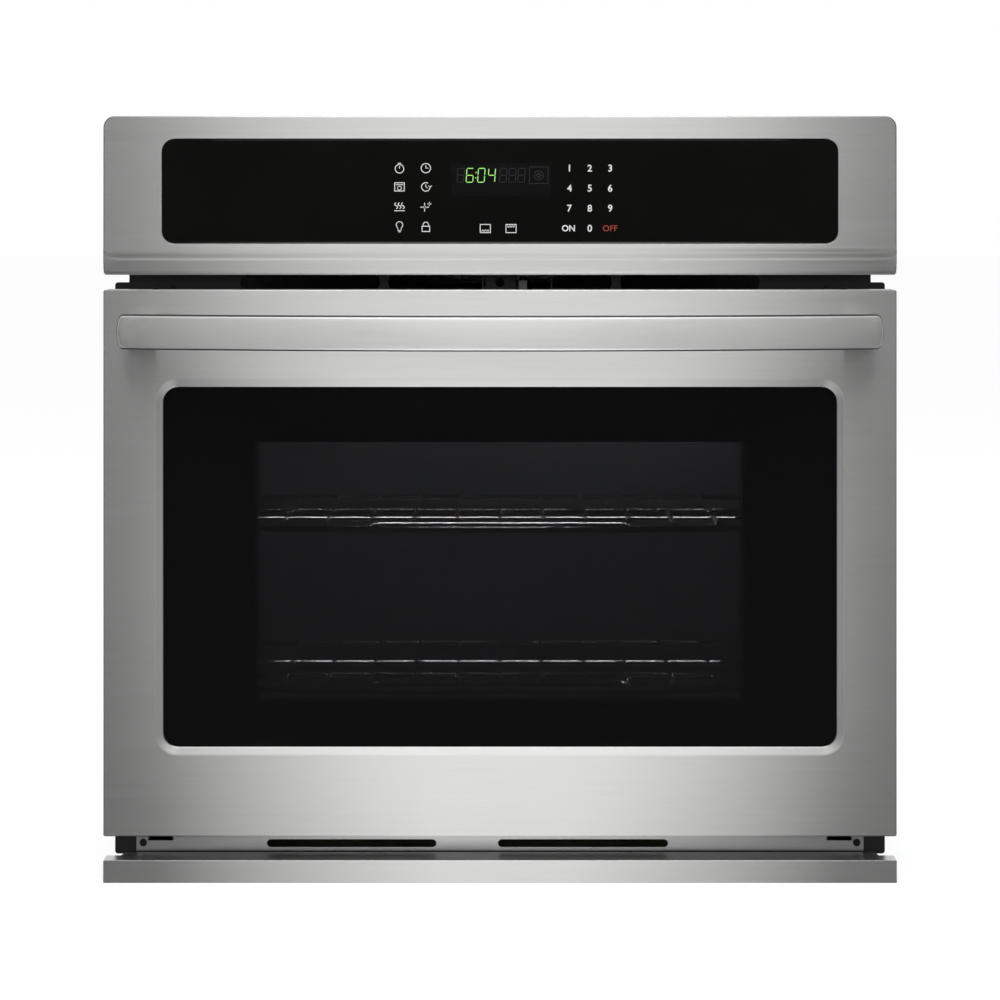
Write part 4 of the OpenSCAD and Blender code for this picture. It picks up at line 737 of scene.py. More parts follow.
def makeDoorSkin():
    s = doorSkin
    (x0, y, z0), (x1, back, z1) = doorLow, doorHigh
    hx = (x0 + s["sideInset"], x1 - s["sideInset"])
    hz = (z0 + s["lowInset"], z1 - s["highInset"])
    d, w, r, e = s["bevelDepth"], s["bevelWidth"], s["openingRadius"], s["edge"]
    rim = w + s["rimWidth"]

    def opening(grow, depth):
        return ring((hx[0] - grow, hx[1] + grow), (hz[0] - grow, hz[1] + grow), r + grow, y + depth)

    def outline(inset, depth):
        return ring((x0 + inset, x1 - inset), (z0 + inset, z1 - inset), s["corner"] - inset * 0.9,
                    y + depth)

    def onTop(c):
        return c.z > z1 - 1e-4 and c.y > y + e

    def onFoot(c):
        return c.z < z0 + 1e-4 and c.y > y + e
    rings = [opening(0, s["openingDepth"])]
    rings += [opening(out * mm, d + past * mm) for out, past in s["bevelInner"]]
    rings += [opening(w - short * mm, behind * mm) for short, behind in s["bevelOuter"]]
    rings.append(opening(rim, 0))
    rings += [outline(e * inset, e * depth) for inset, depth in roundedEdge]
    bm = grownFrom(rings + [outline(0, back - y)])
    faceOut(bm)
    low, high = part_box("latch_hook")
    slotX, slotY, half = (low.x + high.x) / 2, low.y - s["latchBefore"], s["latchHalf"]
    cutBox(bm, (slotX - half, slotY, None),
           (slotX + s["latchReach"], slotY + s["latchDepth"], None), onTop)
    cutBox(bm, (slotX - half, slotY, None), (slotX + half, None, None), onTop)
    middle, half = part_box("hinge_channels")[1].x - s["hingeInset"], s["hingeWidth"] / 2
    for at in (-middle, middle):
        cutBox(bm, (at - half, y + s["hingeBehind"], None), (at + half, None, None), onFoot)
    # painted shade: the bevel's upright runs are told from its level ones, and fade into them round
    # the corners; the upright runs get a darker steel colour that stands in for their shade
    upright = bm.verts.layers.float.new("upright")
    for v in bm.verts:
        reach = [max(abs(c - sum(span) / 2) - (span[1] - span[0]) / 2 + r, 0)
                 for c, span in ((v.co.x, hx), (v.co.z, hz))]
        v[upright] = reach[0] / max(math.hypot(*reach), 1e-6)
    # the bevel's faces get the steel with painted shade on its upright runs
    for face in bm.faces:
        c = face.calc_center_median()
        inside = hx[0] - rim < c.x < hx[1] + rim and hz[0] - rim < c.z < hz[1] + rim
        face.material_index = 1 if inside and y + 0.02 * mm < c.y < y + s["openingDepth"] else 0
    newPiece(bm, "doorSkin", "door",
             [finishes["stainless"], finishes["bevel_stainless_painted_shade"]],
             replaced=["door_skin"], smooth=40, wall=s["wall"])


makeDoorSkin()
print("door skin made")

bezel = {"glassTop": 1.4 * mm, "glassRadius": 11.5 * mm, "edge": 1.2 * mm, "topCorner": 11 * mm,
         "lowCorner": 2.0 * mm, "wall": 0.9 * mm, "gap": 0.8 * mm, "endLift": 3.2 * mm,
         "endReach": 15 * mm, "endCuts": 6, "cutUnder": 22 * mm, "footBehind": 13 * mm,
         # depth and height of the pressed crease and of the lip under it
         "crease": [(0, 26.5), (0, 21.2), (0.1, 20.3), (0.42, 18.9), (0.9, 16.9), (1.0, 16.2),
                    (1.02, 15.6), (0.92, 14.6), (1.0, 13.7), (2.6, 4.2), (3.2, 2.1), (4.6, 0.6),
                    (7.2, 0), (12, 0), (52.5, 0)],
         # depths of the panel's side walls that go with the crease's points, after its edge
         "depths": (6, 12, 18, 24, 30, 36, 42, 46, 49)}


def makeControlBezel():
    s = bezel
    (x0, y, z0), (x1, back, z1) = panelLow, panelHigh
    low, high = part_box("control_glass")
    g, e = s["gap"], s["edge"]

    def opening(grow, depth):
        return ring((low.x - g - grow, high.x + g + grow),
                    (low.z - g - grow, high.z - s["glassTop"] + g + grow),
                    s["glassRadius"] + g + grow, y + depth)
    rings = [opening(0, 1.0 * mm), opening(0, 0.4 * mm), opening(0.12 * mm, 0.12 * mm),
             opening(0.4 * mm, 0)]
    sides = [(e * inset, e * depth) for inset, depth in roundedEdge]
    sides += [(0, depth * mm) for depth in s["depths"]] + [(0, back - y)]
    for (inset, depth), (dy, dz) in zip(sides, s["crease"]):
        rings.append(ring((x0 + inset, x1 - inset), (z0 + dz * mm, z1 - inset),
                          (s["topCorner"] - inset, s["lowCorner"] - inset * 0.8),
                          (y + depth, y + dy * mm)))
    bm = grownFrom(rings)
    # the crease's line sweeps up towards both ends
    for step in range(1, s["endCuts"] + 1):
        for sign in (-1, 1):
            at = sign * (x1 - s["endReach"] * step / s["endCuts"])
            lower = [f for f in bm.faces if f.calc_center_median().z < z0 + s["cutUnder"]]
            sliceFaces(bm, lower, (at, 0, 0), (1, 0, 0))
    # the numbers below are millimetres over the panel's lower edge, and behind its front in y
    for v in bm.verts:
        beyond = min((abs(v.co.x) - (x1 - s["endReach"])) / s["endReach"], 1)
        rise = (v.co.z - z0) / mm
        if beyond < 0 or v.co.y > y + 3.2 * mm or not 5 < rise < 26.4:
            continue
        if rise > 13.3 and v.co.y > y + 0.6 * mm:
            flat = y + (0.42 + 0.58 * (18.9 - min(rise, 18.9)) / 5.2) * mm
            v.co.y += (flat - v.co.y) * beyond ** 2
        weight = min((rise - 5) / 8, 1, (26.5 - rise) / 8.5)
        v.co.z += s["endLift"] * beyond ** 2 * weight
    faceOut(bm)
    gone = [f for f in bm.faces if f.calc_center_median().z < z0 + 0.1 * mm
            and f.calc_center_median().y > y + s["footBehind"]]
    bmesh.ops.delete(bm, geom=gone, context="FACES")
    newPiece(bm, "controlBezel", "chassis", [finishes["stainless"]],
             replaced=["control_bezel"], smooth=35, wall=s["wall"])


makeControlBezel()
print("control bezel made")

doorGlassLook = {"radius": 14.5 * mm, "edge": 0.5 * mm, "half": 239.1 * mm, "low": 167.3 * mm,
                 "high": 423.4 * mm, "band": 12.6 * mm, "pitch": 1.5 * mm, "dotSize": 0.72,
                 "clear": 0.5, "tint": (0.01, 0.01, 0.011), "ink": (0.0045, 0.0045, 0.005),
                 "roughness": 0.02, "smudge": 0.03}
panelGlassLook = {"edge": 0.9 * mm, "dark": (0.0045, 0.0045, 0.0042),
                  "light": (0.0055, 0.0054, 0.005), "roughness": 0.02, "roughSpread": 0.03,
                  "bump": 0.01, "fine": 40.0}


def makeGlassSlab(name, node, body, radius, edge, mat, cut=0):
    low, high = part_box(node)
    high.z -= cut
    bm = bmesh.new()
    face = uprightSheet(bm, (low.x, high.x), (low.z, high.z), low.y, radius, 9)
    grown = bmesh.ops.extrude_face_region(bm, geom=[face])["geom"]
    shiftBy(bm, vertsIn(grown), y=high.y - low.y)
    faceOut(bm)
    bevel(bm, sharpEdges(bm), edge, 2)
    newPiece(bm, name, body, [mat], replaced=[node], smooth=30)


panelGlassMat = plainFinish("panelGlass", panelGlassLook)
makeGlassSlab("doorGlass", "door_glass", "door", doorGlassLook["radius"], doorGlassLook["edge"],
              glassMaterial("doorGlassPrint", doorGlassLook))
makeGlassSlab("controlGlass", "control_glass", "chassis", bezel["glassRadius"],
              panelGlassLook["edge"], panelGlassMat, bezel["glassTop"])
print("glass made")

handle = {"bow": 54 * mm, "depth": 18 * mm, "endRound": 42 * mm, "edge": 2.9 * mm,
          "backEdge": 4.5 * mm, "crown": 0.9 * mm, "steps": 96, "capEdge": 2.6 * mm,
          # faces turned up, down or aside by more than this get painted shade, a near-black steel
          # for the shaded sides of the rounding, but not the flat end caps
          "darkFrom": 0.55, "capTurn": 0.97}


def makeHandle():
    s = handle
    low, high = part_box("handle_bar")
    half, height, mid = high.x, high.z - low.z, (low.z + high.z) / 2
    radius = (half * half + s["bow"] ** 2) / (2 * s["bow"])
    centre = Vector((0, low.y + radius, mid))
    sweep = math.asin(half / radius)
    bm = bmesh.new()
    verts = unitSheet(bm, s["depth"], height)
    rotateBy(bm, verts, math.pi / 2, "Z")
    shiftBy(bm, verts, y=s["depth"] / 2)
    for chosen, size in (([v for v in bm.verts if v.co.y < 1e-6], s["edge"]),
                         ([v for v in bm.verts if v.co.y > s["depth"] - 1e-6], s["backEdge"])):
        bevel(bm, chosen, size, 6, "VERTICES")
    front = [ed for ed in bm.edges if all(v.co.y < 1e-6 for v in ed.verts)]
    bmesh.ops.subdivide_edges(bm, edges=front, cuts=9)
    for v in bm.verts:
        if v.co.y < s["edge"]:
            v.co.y += s["crown"] * (v.co.z / (height / 2)) ** 2
    section = list(bm.edges)
    bmesh.ops.delete(bm, geom=list(bm.faces), context="FACES_ONLY")
    shiftBy(bm, bm.verts[:], y=low.y, z=mid)
    rotateBy(bm, bm.verts[:], -sweep, "Z", centre)
    bmesh.ops.spin(bm, geom=section + list(bm.verts), cent=centre, axis=(0, 0, 1),
                   angle=2 * sweep, steps=s["steps"], use_merge=False)
    bmesh.ops.remove_doubles(bm, verts=bm.verts[:], dist=1e-6)
    # ends cut to a shallow curve, as seen from the front
    startX = half - s["endRound"]
    reach = max(abs(v.co.x) for v in bm.verts)
    for v in bm.verts:
        past = abs(v.co.x) - startX
        if past > 0:
            along = past / (reach - startX)
            curve = math.sqrt(s["endRound"] ** 2 - (v.co.z - mid) ** 2)
            v.co.x = math.copysign(startX + along * curve, v.co.x)
    loops = [ed for ed in bm.edges if len(ed.link_faces) == 1]
    caps = bmesh.ops.holes_fill(bm, edges=loops, sides=0)["faces"]
    bmesh.ops.recalc_face_normals(bm, faces=bm.faces[:])
    bevel(bm, [ed for f in caps for ed in f.edges], s["capEdge"], 4)
    bm.normal_update()
    # painted shade on the faces that turn up, down or aside
    for face in bm.faces:
        aside = abs(face.normal.x) if abs(face.normal.x) < s["capTurn"] else 0
        face.material_index = 1 if max(abs(face.normal.z), aside) > s["darkFrom"] else 0
    bar = newPiece(bm, "handleBar", "door",
                   [finishes["handle_stainless_painted_light"], finishes["handle_edge_painted_shade"]],
                   replaced=["handle_bar"], smooth=50, flats=False)
    # the satin door is too soft a mirror to show the bar in front of it
    bar.visible_glossy = False


makeHandle()
print("handle made")

bottomTrim = {"endWidth": 14 * mm, "endDepth": 28 * mm, "lipDepth": 14 * mm, "edge": 0.5 * mm,
              "wall": 0.9 * mm, "slant": 2.5 * mm, "backGap": 4.6 * mm, "backDrop": 9 * mm}


def makeBottomTrim():
    s = bottomTrim
    (x0, y, z0), (x1, back, z1) = trimLow, trimHigh
    bm = bmesh.new()
    inner = back - s["backGap"]
    profile = [(y + s["lipDepth"], z0), (y, z0), (y, z1), (y + s["endDepth"], z1), (inner, z1),
               (inner, z1 - s["backDrop"])]
    verts = [bm.verts.new((x0, py, pz)) for py, pz in profile]
    edges = [bm.edges.new(pair) for pair in zip(verts, verts[1:])]
    for x in (x0 + s["endWidth"], x0 + s["endWidth"] + s["slant"],
              x1 - s["endWidth"] - s["slant"], x1 - s["endWidth"], x1):
        verts, edges = extrudeLine(bm, edges)
        for v in verts:
            v.co.x = x
    ends = [f for f in bm.faces if f.calc_center_median().y > y + s["endDepth"]
            and abs(f.calc_center_median().x) > x1 - s["endWidth"]]
    bmesh.ops.delete(bm, geom=ends, context="FACES")
    for v in bm.verts:
        if v.co.y > inner - 1e-6 and abs(v.co.x) > x1 - s["endWidth"] - 1e-6:
            v.co.y = y + s["endDepth"]
    bmesh.ops.remove_doubles(bm, verts=bm.verts[:], dist=1e-6)
    for sign in (-1, 1):
        side = [v for v in bm.verts if abs(v.co.x - sign * x1) < 1e-6]
        bmesh.ops.contextual_create(bm, geom=side)
    bmesh.ops.recalc_face_normals(bm, faces=bm.faces[:])
    faceOut(bm)
    bevel(bm, sharpEdges(bm), s["edge"], 3)
    bm.normal_update()
    for face in bm.faces:
        face.material_index = 1 if face.normal.z > 0.6 else 0
    newPiece(bm, "bottomTrim", "chassis",
             [finishes["stainless"], finishes["rail_stainless"]],
             replaced=["bottom_trim"], smooth=40, wall=s["wall"])


makeBottomTrim()
print("bottom trim made")

# places, sizes and strokes on the control glass, in millimetres
controlPrint = {
    "depth": 0.05, "stroke": 0.75, "digitHeight": 6.7, "wordHeight": 6.0, "capHeight": 0.73,
    "bold": 0.16, "thin": 0.04,
    "keyColumns": (66.7, 86.2, 105.8), "keyRows": (686.6, 667.4, 648.1, 628.9),
    "signColumns": (-96.5, -71.2), "signRows": (686.6, 668.6, 649.7, 630.5), "signRadius": 4.1,
    "modeColumns": (-14.1, 10.6), "modeRow": 628.6,
    "clockRise": (673.1, 686.4), "clockWidth": 6.4, "barWidth": 0.9, "barGap": 0.35, "lean": 0.07,
    "colonX": -23.6, "colonRises": (4.2, 9.2), "fanX": 37.2, "fanStroke": 0.7,
    "window": (1.0, 675.2, 96, 31.7), "windowBehind": 0.012,
    # left ends of the clock's digits; None is an unlit place
    "clock": ((-41.3, None), (-32.6, "6"), (-21.6, "0"), (-11.6, "4"), (-0.6, None),
              (8.3, None), (17.0, None)),
}
segmentsOf = {"6": "acdefg", "0": "abcdef", "4": "bcfg", None: "abcdefg"}
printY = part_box("control_glass")[0].y - 0.02 * mm


def barStroke(bm, x0, z0, x1, z1, width):
    # a flat bar between two points, its ends pointed
    length, lean = math.hypot(x1 - x0, z1 - z0), math.atan2(z1 - z0, x1 - x0)
    verts = bmesh.ops.create_circle(bm, cap_ends=True, segments=6, radius=width / 2 * mm)["verts"]
    rotateBy(bm, verts, math.pi / 6, "Z")
    # the hexagon's two halves move apart to the bar's length
    for v in verts:
        v.co.x += math.copysign(max(length - width, 0) / 2 * mm, v.co.x)
    rotateBy(bm, verts, lean, "Z")
    rotateBy(bm, verts, math.pi / 2, "X")
    shiftBy(bm, verts, (x0 + x1) / 2 * mm, printY, (z0 + z1) / 2 * mm)


def boxStroke(bm, x, z, wide, high, stroke=0, lean=0.0):
    # a frame, or a filled box where no stroke is given
    verts = unitSheet(bm, wide * mm, high * mm, lean)
    shiftBy(bm, verts, x * mm, printY, z * mm)
    if stroke:
        middle = verts[0].link_faces[0]
        bmesh.ops.inset_region(bm, faces=[middle], thickness=stroke * mm, use_boundary=True,
                               use_even_offset=True)
        bmesh.ops.delete(bm, geom=[middle], context="FACES_ONLY")


def arcStroke(bm, x, z, radius, width, start=0.0, end=360.0):
    centre = (x * mm, printY, z * mm)
    ends = [bm.verts.new(((x + radius + side * width / 2) * mm, printY, z * mm))
            for side in (-1, 1)]
    edge = bm.edges.new(ends)
    rotateBy(bm, ends, -math.radians(start), "Y", centre)
    bmesh.ops.spin(bm, geom=[*ends, edge], cent=centre, axis=(0, -1, 0),
                   angle=math.radians(end - start), steps=max(6, int((end - start) / 9)),
                   use_merge=end - start >= 360)


def addText(bm, text, x, z, height, bold=controlPrint["bold"]):
    curve = bpy.data.curves.new("label", "FONT")
    curve.body = text
    curve.size = height * mm / controlPrint["capHeight"]
    curve.align_x = "CENTER"
    curve.align_y = "CENTER"
    curve.offset = bold * mm
    curve.resolution_u = 4
    obj = bpy.data.objects.new("label", curve)
    scene.collection.objects.link(obj)
    mesh = bpy.data.meshes.new_from_object(obj.evaluated_get(
        bpy.context.evaluated_depsgraph_get()))
    lows, highs = [[f(v.co[i] for v in mesh.vertices) for i in (0, 1)] for f in (min, max)]
    before = set(bm.verts)
    bm.from_mesh(mesh)
    verts = [v for v in bm.verts if v not in before]
    shiftBy(bm, verts, -(lows[0] + highs[0]) / 2, -(lows[1] + highs[1]) / 2)
    rotateBy(bm, verts, math.pi / 2, "X")
    shiftBy(bm, verts, x * mm, printY, z * mm)
    bpy.data.objects.remove(obj)
    bpy.data.curves.remove(curve)
    bpy.data.meshes.remove(mesh)


def finishPrint(bm, name, mat):
    bmesh.ops.remove_doubles(bm, verts=bm.verts[:], dist=1e-7)
    bm.normal_update()
    bmesh.ops.reverse_faces(bm, faces=[f for f in bm.faces if f.normal.y > 0])
    newPiece(bm, name, "chassis", [mat], wall=controlPrint["depth"] * mm, flats=False)


def drawSigns(bm):
    # plain signs for the timers and modes, in place of words
    s = controlPrint
    w, r = s["stroke"], s["signRadius"]
    (xa, xb), (za, zb, zc, zd) = s["signColumns"], s["signRows"]
    # two timers and a clock
    arcs = [(xa, za - 0.6, r, w), (xb, za, r + 0.4, w), (xb, zb, r, w, 60, 360)]
    bars = [(xa, za - 0.6, xa, za + 2.2), (xb, za, xb, za + 3.0), (xb, za, xb + 2.3, za),
            (xb, zb, xb, zb + 2.6), (xb, zb, xb + 1.8, zb - 1.3),
            (xb + r - 1.6, zb + 1.3, xb + r + 0.1, zb - 0.2),
            (xb + r + 1.8, zb + 1.3, xb + r + 0.1, zb - 0.2)]
    boxes = [(xa, za + 4.7, 3.0, w)]
    # an oven, and warm air over a plate
    boxes += [(xa, zb, 10, 8.6, w), (xa, zb + 2.1, 7.4, w * 0.8), (xa, zc - 4.0, 10, w)]
    arcs.append((xa, zb - 1.2, 1.9, w * 0.8))
    for i in (-1, 0, 1):
        arcs += [(xa + i * 3.2, zc + 2.2, 1.35, w, 90, 270),
                 (xa + i * 3.2, zc - 0.5, 1.35, w, -90, 90)]
    # lamp and lock
    arcs += [(xa, zd + 1.6, 3.1, w, -50, 230), (xb, zd + 1.6, 2.6, w, 0, 180)]
    boxes += [(xa, zd - 3.7, 3.4, w), (xa, zd - 5.0, 2.4, w), (xb, zd - 2.2, 8.0, 5.8, w)]
    for side in (-1, 1):
        bars += [(xa + side * 1.9, zd - 0.6, xa + side * 1.4, zd - 3.2),
                 (xb + side * 2.6, zd + 1.9, xb + side * 2.6, zd + 0.6)]
    # lower heat and upper heat
    z = s["modeRow"]
    for x, side in zip(s["modeColumns"], (-1, 1)):
        boxes.append((x, z, 10.5, 8.6, w))
        far, near = z + side * 2.9, z + side * 0.9
        for at in (x - 2.5, x, x + 2.5):
            bars += [(at - 1.1, far, at, near), (at, near, at + 1.1, far)]
    for arc in arcs:
        arcStroke(bm, *arc)
    for bar in bars:
        barStroke(bm, *bar, w)
    for box in boxes:
        boxStroke(bm, *box)
    # two sparkles
    for x, z, size in ((xb - 1.2, zc - 0.6, 4.2), (xb + 3.4, zc + 2.6, 2.0)):
        barStroke(bm, x - size, z, x + size, z, w * 1.2)
        barStroke(bm, x, z - size, x, z + size, w * 1.2)
        boxStroke(bm, x, z, size * 0.6, size * 0.6, lean=math.pi / 4)


def drawClock(bm, lit):
    s = controlPrint
    low, high = s["clockRise"]
    mid, g = (low + high) / 2, s["barGap"]
    for x0, digit in s["clock"]:
        if (digit is not None) != lit:
            continue
        x1 = x0 + s["clockWidth"]
        bars = {"a": (x0 + g, high, x1 - g, high), "g": (x0 + g, mid, x1 - g, mid),
                "d": (x0 + g, low, x1 - g, low), "f": (x0, mid + g, x0, high - g),
                "b": (x1, mid + g, x1, high - g), "e": (x0, low + g, x0, mid - g),
                "c": (x1, low + g, x1, mid - g)}
        for key in segmentsOf[digit]:
            barStroke(bm, *bars[key], s["barWidth"])
    if lit:
        for rise in s["colonRises"]:
            boxStroke(bm, s["colonX"], low + rise, 1.0, 1.0)
    for v in bm.verts:
        v.co.x += (v.co.z - low * mm) * s["lean"]
    if not lit:
        # a fan in its frame
        x = s["fanX"]
        boxStroke(bm, x, mid, 18.6, 16.6, s["fanStroke"])
        arcStroke(bm, x, mid, 4.4, s["fanStroke"])
        for angle in range(0, 360, 60):
            dx, dz = math.cos(math.radians(angle)), math.sin(math.radians(angle))
            barStroke(bm, x + dx * 0.6, mid + dz * 0.6, x + dx * 3, mid + dz * 3, 1.2)


def drawKeys(bm):
    s = controlPrint
    columns, rows = s["keyColumns"], s["keyRows"]
    for i in range(9):
        addText(bm, str(i + 1), columns[i % 3], rows[i // 3], s["digitHeight"])
    addText(bm, "0", columns[1], rows[3], s["digitHeight"])
    addText(bm, "ON", columns[0] - 1.0, rows[3], s["wordHeight"])
    drawSigns(bm)


def drawOff(bm):
    s = controlPrint
    addText(bm, "OFF", s["keyColumns"][2], s["keyRows"][3], s["wordHeight"], s["thin"])


def drawWindow(bm):
    boxStroke(bm, *controlPrint["window"])
    shiftBy(bm, bm.verts[:], y=controlPrint["windowBehind"] * mm)


inks = {
    "controlPrint": (drawKeys, plainFinish("whiteInk", {
        "dark": (0.72, 0.72, 0.71), "light": (0.82, 0.82, 0.81), "roughness": 0.4,
        "patch": 60.0})),
    "offPrint": (drawOff, plainFinish("redInk", {
        "dark": (0.28, 0.025, 0.01), "light": (0.36, 0.035, 0.015), "roughness": 0.4,
        "patch": 60.0})),
    "clockDigits": (lambda bm: drawClock(bm, True),
                    glowMaterial("clockGlow", (0.3, 0.66, 0.16), 0.5)),
    "clockUnlit": (lambda bm: drawClock(bm, False), plainFinish("unlitInk", {
        "dark": (0.0055, 0.006, 0.0055), "light": (0.0075, 0.008, 0.0075), "roughness": 0.3})),
    "displayWindow": (drawWindow, plainFinish("displayTint", {
        "dark": (0.0058, 0.0062, 0.0058), "light": (0.007, 0.0074, 0.007), "roughness": 0.05,
        "roughSpread": 0.03, "bump": 0.01})),
}
for name, (draw, ink) in inks.items():
    bm = bmesh.new()
    draw(bm)
    finishPrint(bm, name, ink)
print("control print made")

screwLook = {"head": 3.6 * mm, "rise": 2.0 * mm, "shank": 1.9 * mm, "round": 0.9 * mm,
             "crossHalf": 0.42 * mm, "crossReach": 1.9 * mm, "crossDepth": 1.1 * mm}


def mergedCopy(node):
    source = frame["nodes"][node]
    bm = bmesh.new()
    bm.from_mesh(source.data)
    bm.transform(source.matrix_world)
    bmesh.ops.remove_doubles(bm, verts=bm.verts[:], dist=1e-6)
    return bm


def islandsOf(bm):
    # the separate solids of a merged copy, each as its vertices
    left = set(bm.verts)
    found = []
    for first in bm.verts:
        if first not in left:
            continue
        left.remove(first)
        stack = [first]
        island = []
        while stack:
            v = stack.pop()
            island.append(v)
            near = {ed.other_vert(v) for ed in v.link_edges} & left
            left -= near
            stack += near
        found.append(island)
    return found


def addScrew(bm, points):
    # a pan head with a cross recess where the frame's own screw stands
    s = screwLook
    low, high = [Vector(f(p[i] for p in points) for i in range(3)) for f in (min, max)]
    middle = (low + high) / 2
    axis = max(range(3), key=lambda i: high[i] - low[i])
    # the head is at the end where the screw is wider
    widths = []
    for end in (low, high):
        spokes = [p - middle for p in points if abs(p[axis] - end[axis]) < 1e-4]
        for spoke in spokes:
            spoke[axis] = 0
        widths.append(max(spoke.length for spoke in spokes))
    way = -1 if widths[0] > widths[1] else 1
    before = set(bm.verts)

    def own():
        return [v for v in bm.verts if v not in before]

    def cap():
        return list(dict.fromkeys(f for v in own() for f in v.link_faces
                                  if f.calc_center_median().z > s["rise"] - 1e-6
                                  and abs(f.normal.z) > 0.999))
    bmesh.ops.create_cone(bm, cap_ends=True, segments=24, radius1=s["head"], radius2=s["head"],
                          depth=s["rise"])
    shiftBy(bm, own(), z=s["rise"] / 2)
    faces = list({f for v in own() for f in v.link_faces})
    top = max(faces, key=lambda f: f.calc_center_median().z)
    foot = min(faces, key=lambda f: f.calc_center_median().z)
    bmesh.ops.inset_region(bm, faces=[foot], thickness=s["head"] - s["shank"], use_boundary=True,
                           use_even_offset=True)
    grown = bmesh.ops.extrude_face_region(bm, geom=[foot])["geom"]
    shiftBy(bm, vertsIn(grown), z=s["rise"] - (high[axis] - low[axis]))
    bmesh.ops.delete(bm, geom=[foot], context="FACES_ONLY")
    bevel(bm, list(top.edges), s["round"], 4)
    bm.normal_update()
    for normal in ((1, 0, 0), (0, 1, 0)):
        for at in (-s["crossReach"], -s["crossHalf"], s["crossHalf"], s["crossReach"]):
            sliceFaces(bm, cap(), tuple(at * n for n in normal), normal, 1e-7)
            bm.normal_update()
    cross = []
    for face in cap():
        near, far = sorted(abs(c) for c in face.calc_center_median()[:2])
        if far < s["crossReach"] and near < s["crossHalf"]:
            cross.append(face)
    sunk = bmesh.ops.extrude_face_region(bm, geom=cross)["geom"]
    shiftBy(bm, vertsIn(sunk), z=-s["crossDepth"])
    bmesh.ops.delete(bm, geom=cross, context="FACES")
    out = Vector([float(way * (i == axis)) for i in range(3)])
    matrix = Vector((0, 0, 1)).rotation_difference(out).to_matrix()
    bmesh.ops.rotate(bm, cent=(0, 0, 0), matrix=matrix, verts=own())
    middle[axis] = (low if way < 0 else high)[axis] - way * s["rise"]
    shiftBy(bm, own(), *middle)


def makeScrews(name, node, body):
    bm = bmesh.new()
    plain = mergedCopy(node)
    for island in islandsOf(plain):
        addScrew(bm, [v.co.copy() for v in island])
    plain.free()
    bmesh.ops.recalc_face_normals(bm, faces=bm.faces[:])
    # the screws at the front are black
    for face in bm.faces:
        face.material_index = 1 if face.calc_center_median().y < 0 else 0
    newPiece(bm, name, body, [finishes["plain_steel"], finishes["black_screw"]],
             replaced=[node], smooth=30, flats=False)


makeScrews("chassisScrews", "chassis_screws", "chassis")
makeScrews("doorScrews", "door_screws", "door")
print("screws made")

ropeSeal = {"radius": 6.0 * mm, "corner": 28.0 * mm, "tail": 4.2 * mm, "bulge": 5.7 * mm,
            "bulgeRise": 2.4 * mm, "uvUnit": 10.0 * mm}


def makeGasket():
    s = ropeSeal
    low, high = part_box("door_gasket")
    r, corner = s["radius"], s["corner"]
    xs, zs = [(a + r, b - r) for a, b in ((low.x, high.x), (low.z, high.z))]
    middle = low.y + r
    foot = high.y - s["bulgeRise"]
    section = [(-s["tail"], high.y), (-s["bulge"], foot)]
    section += [(-r * math.cos(math.radians(a)), middle - r * math.sin(math.radians(a)))
                for a in range(0, 181, 18)]
    section += [(s["bulge"], foot), (s["tail"], high.y)]
    rings = [ring((xs[0] - g, xs[1] + g), (zs[0] - g, zs[1] + g), corner + g, y)
             for g, y in section]
    bm = grownFrom(rings + rings[:1], 8)
    bmesh.ops.remove_doubles(bm, verts=bm.verts[:], dist=1e-6)
    bmesh.ops.recalc_face_normals(bm, faces=bm.faces[:])
    # the sleeve's own map: along the path and round the section
    uv = bm.loops.layers.uv.new("sleeve")
    inX, inZ = [(a + corner, b - corner) for a, b in (xs, zs)]
    wide, tall = inX[1] - inX[0], inZ[1] - inZ[0]
    whole = 2 * (wide + tall) + 2 * math.pi * corner

    def along(co):
        cx, cz = min(max(co.x, inX[0]), inX[1]), min(max(co.z, inZ[0]), inZ[1])
        a = math.atan2(co.z - cz, co.x - cx) % (2 * math.pi)
        part = int((a + math.pi / 4) // (math.pi / 2))
        past = (cz - inZ[0], tall + inX[1] - cx, tall + wide + inZ[1] - cz,
                2 * tall + wide + cx - inX[0], 2 * (tall + wide))[part]
        side = math.hypot(co.x - cx, co.z - cz) - corner
        return past + corner * a, math.atan2(middle - co.y, side) * r
    for face in bm.faces:
        spots = [along(loop.vert.co) for loop in face.loops]
        far = max(u for u, _ in spots)
        lift = math.pi * r if max(v for _, v in spots) - min(v for _, v in spots) > 3 * r else 0
        for loop, (u, v) in zip(face.loops, spots):
            u += whole if far - u > whole / 2 else 0
            v += 2 * lift if lift and v < 0 else 0
            loop[uv].uv = (u / s["uvUnit"], v / s["uvUnit"])
    newPiece(bm, "gasketRope", "chassis", [finishes["gasket"]],
             replaced=["door_gasket"], smooth=80, flats=False)


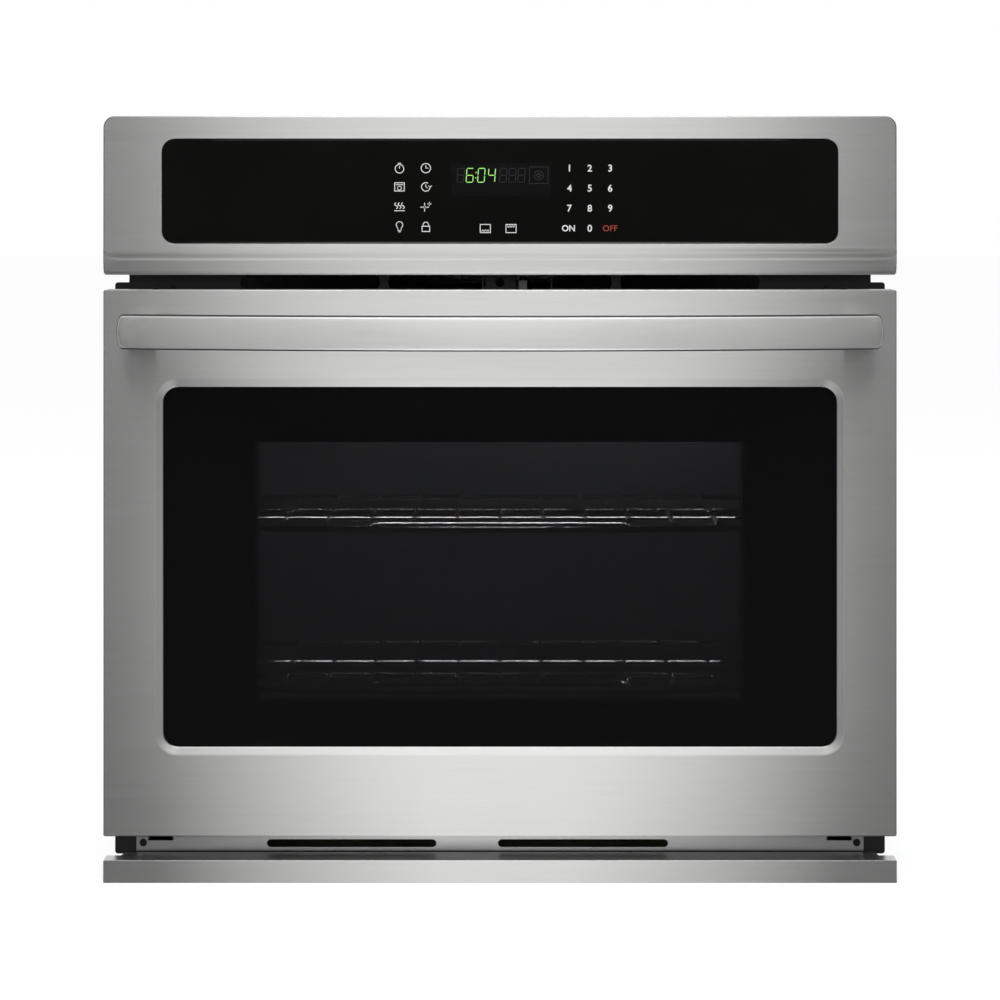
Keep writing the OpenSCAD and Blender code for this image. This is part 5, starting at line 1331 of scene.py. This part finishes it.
makeGasket()
print("gasket made")

wool = {"worn": 2.2 * mm, "tuft": 2.4 * mm, "tuftSize": 38.0, "fluff": 1.0 * mm, "fluffSize": 150.0,
        "apart": 2.0}


def makeWool(name, node, body, voxel):
    # the frame's slab worn into a soft uneven bat, never beyond its own faces
    s = wool
    bm = mergedCopy(node)
    # the solids stand apart while they are remeshed, so that none grows into the next
    for i, island in enumerate(islandsOf(bm)):
        for v in island:
            v.co.x += i * s["apart"]
    mesh = bpy.data.meshes.new("woolStart")
    bm.to_mesh(mesh)
    bm.free()
    start = bpy.data.objects.new("woolStart", mesh)
    scene.collection.objects.link(start)
    remesh = start.modifiers.new("soften", "REMESH")
    remesh.mode = "VOXEL"
    remesh.voxel_size = voxel
    soft = bpy.data.meshes.new_from_object(start.evaluated_get(
        bpy.context.evaluated_depsgraph_get()))
    bpy.data.objects.remove(start)
    bm = bmesh.new()
    bm.from_mesh(soft)
    bpy.data.meshes.remove(soft)
    bm.normal_update()
    for v, push in [(v, v.normal.copy()) for v in bm.verts]:
        sink = s["worn"] + s["tuft"] * (0.5 + 0.5 * noise.noise(v.co * s["tuftSize"]))
        sink += s["fluff"] * (0.5 + 0.5 * noise.noise(v.co * s["fluffSize"]))
        v.co -= push * sink
        v.co.x -= round(v.co.x / s["apart"]) * s["apart"]
    newPiece(bm, name, body, [finishes["insulation"]], replaced=[node], smooth=180,
             flats=False)


makeWool("ovenWool", "oven_insulation", "chassis", 6.2 * mm)
makeWool("doorWool", "door_insulation", "door", 5 * mm)
print("insulation made")

slotOf = {row["node"]: row["material_slot"] for row in frame["record"]["subparts"]}
finishes["black_glass"] = panelGlassMat
ownFinish = {"latch_hook": "dark_zinc", "latch_bracket": "dark_zinc", "hinge_arms": "dark_zinc",
             "hinge_receivers": "dark_zinc"}
for node, obj in frame["nodes"].items():
    obj.data.materials.clear()
    obj.data.materials.append(finishes[ownFinish.get(node, slotOf[node])])
    for face in obj.data.polygons:
        face.use_smooth = False
print("CAD nodes dressed")
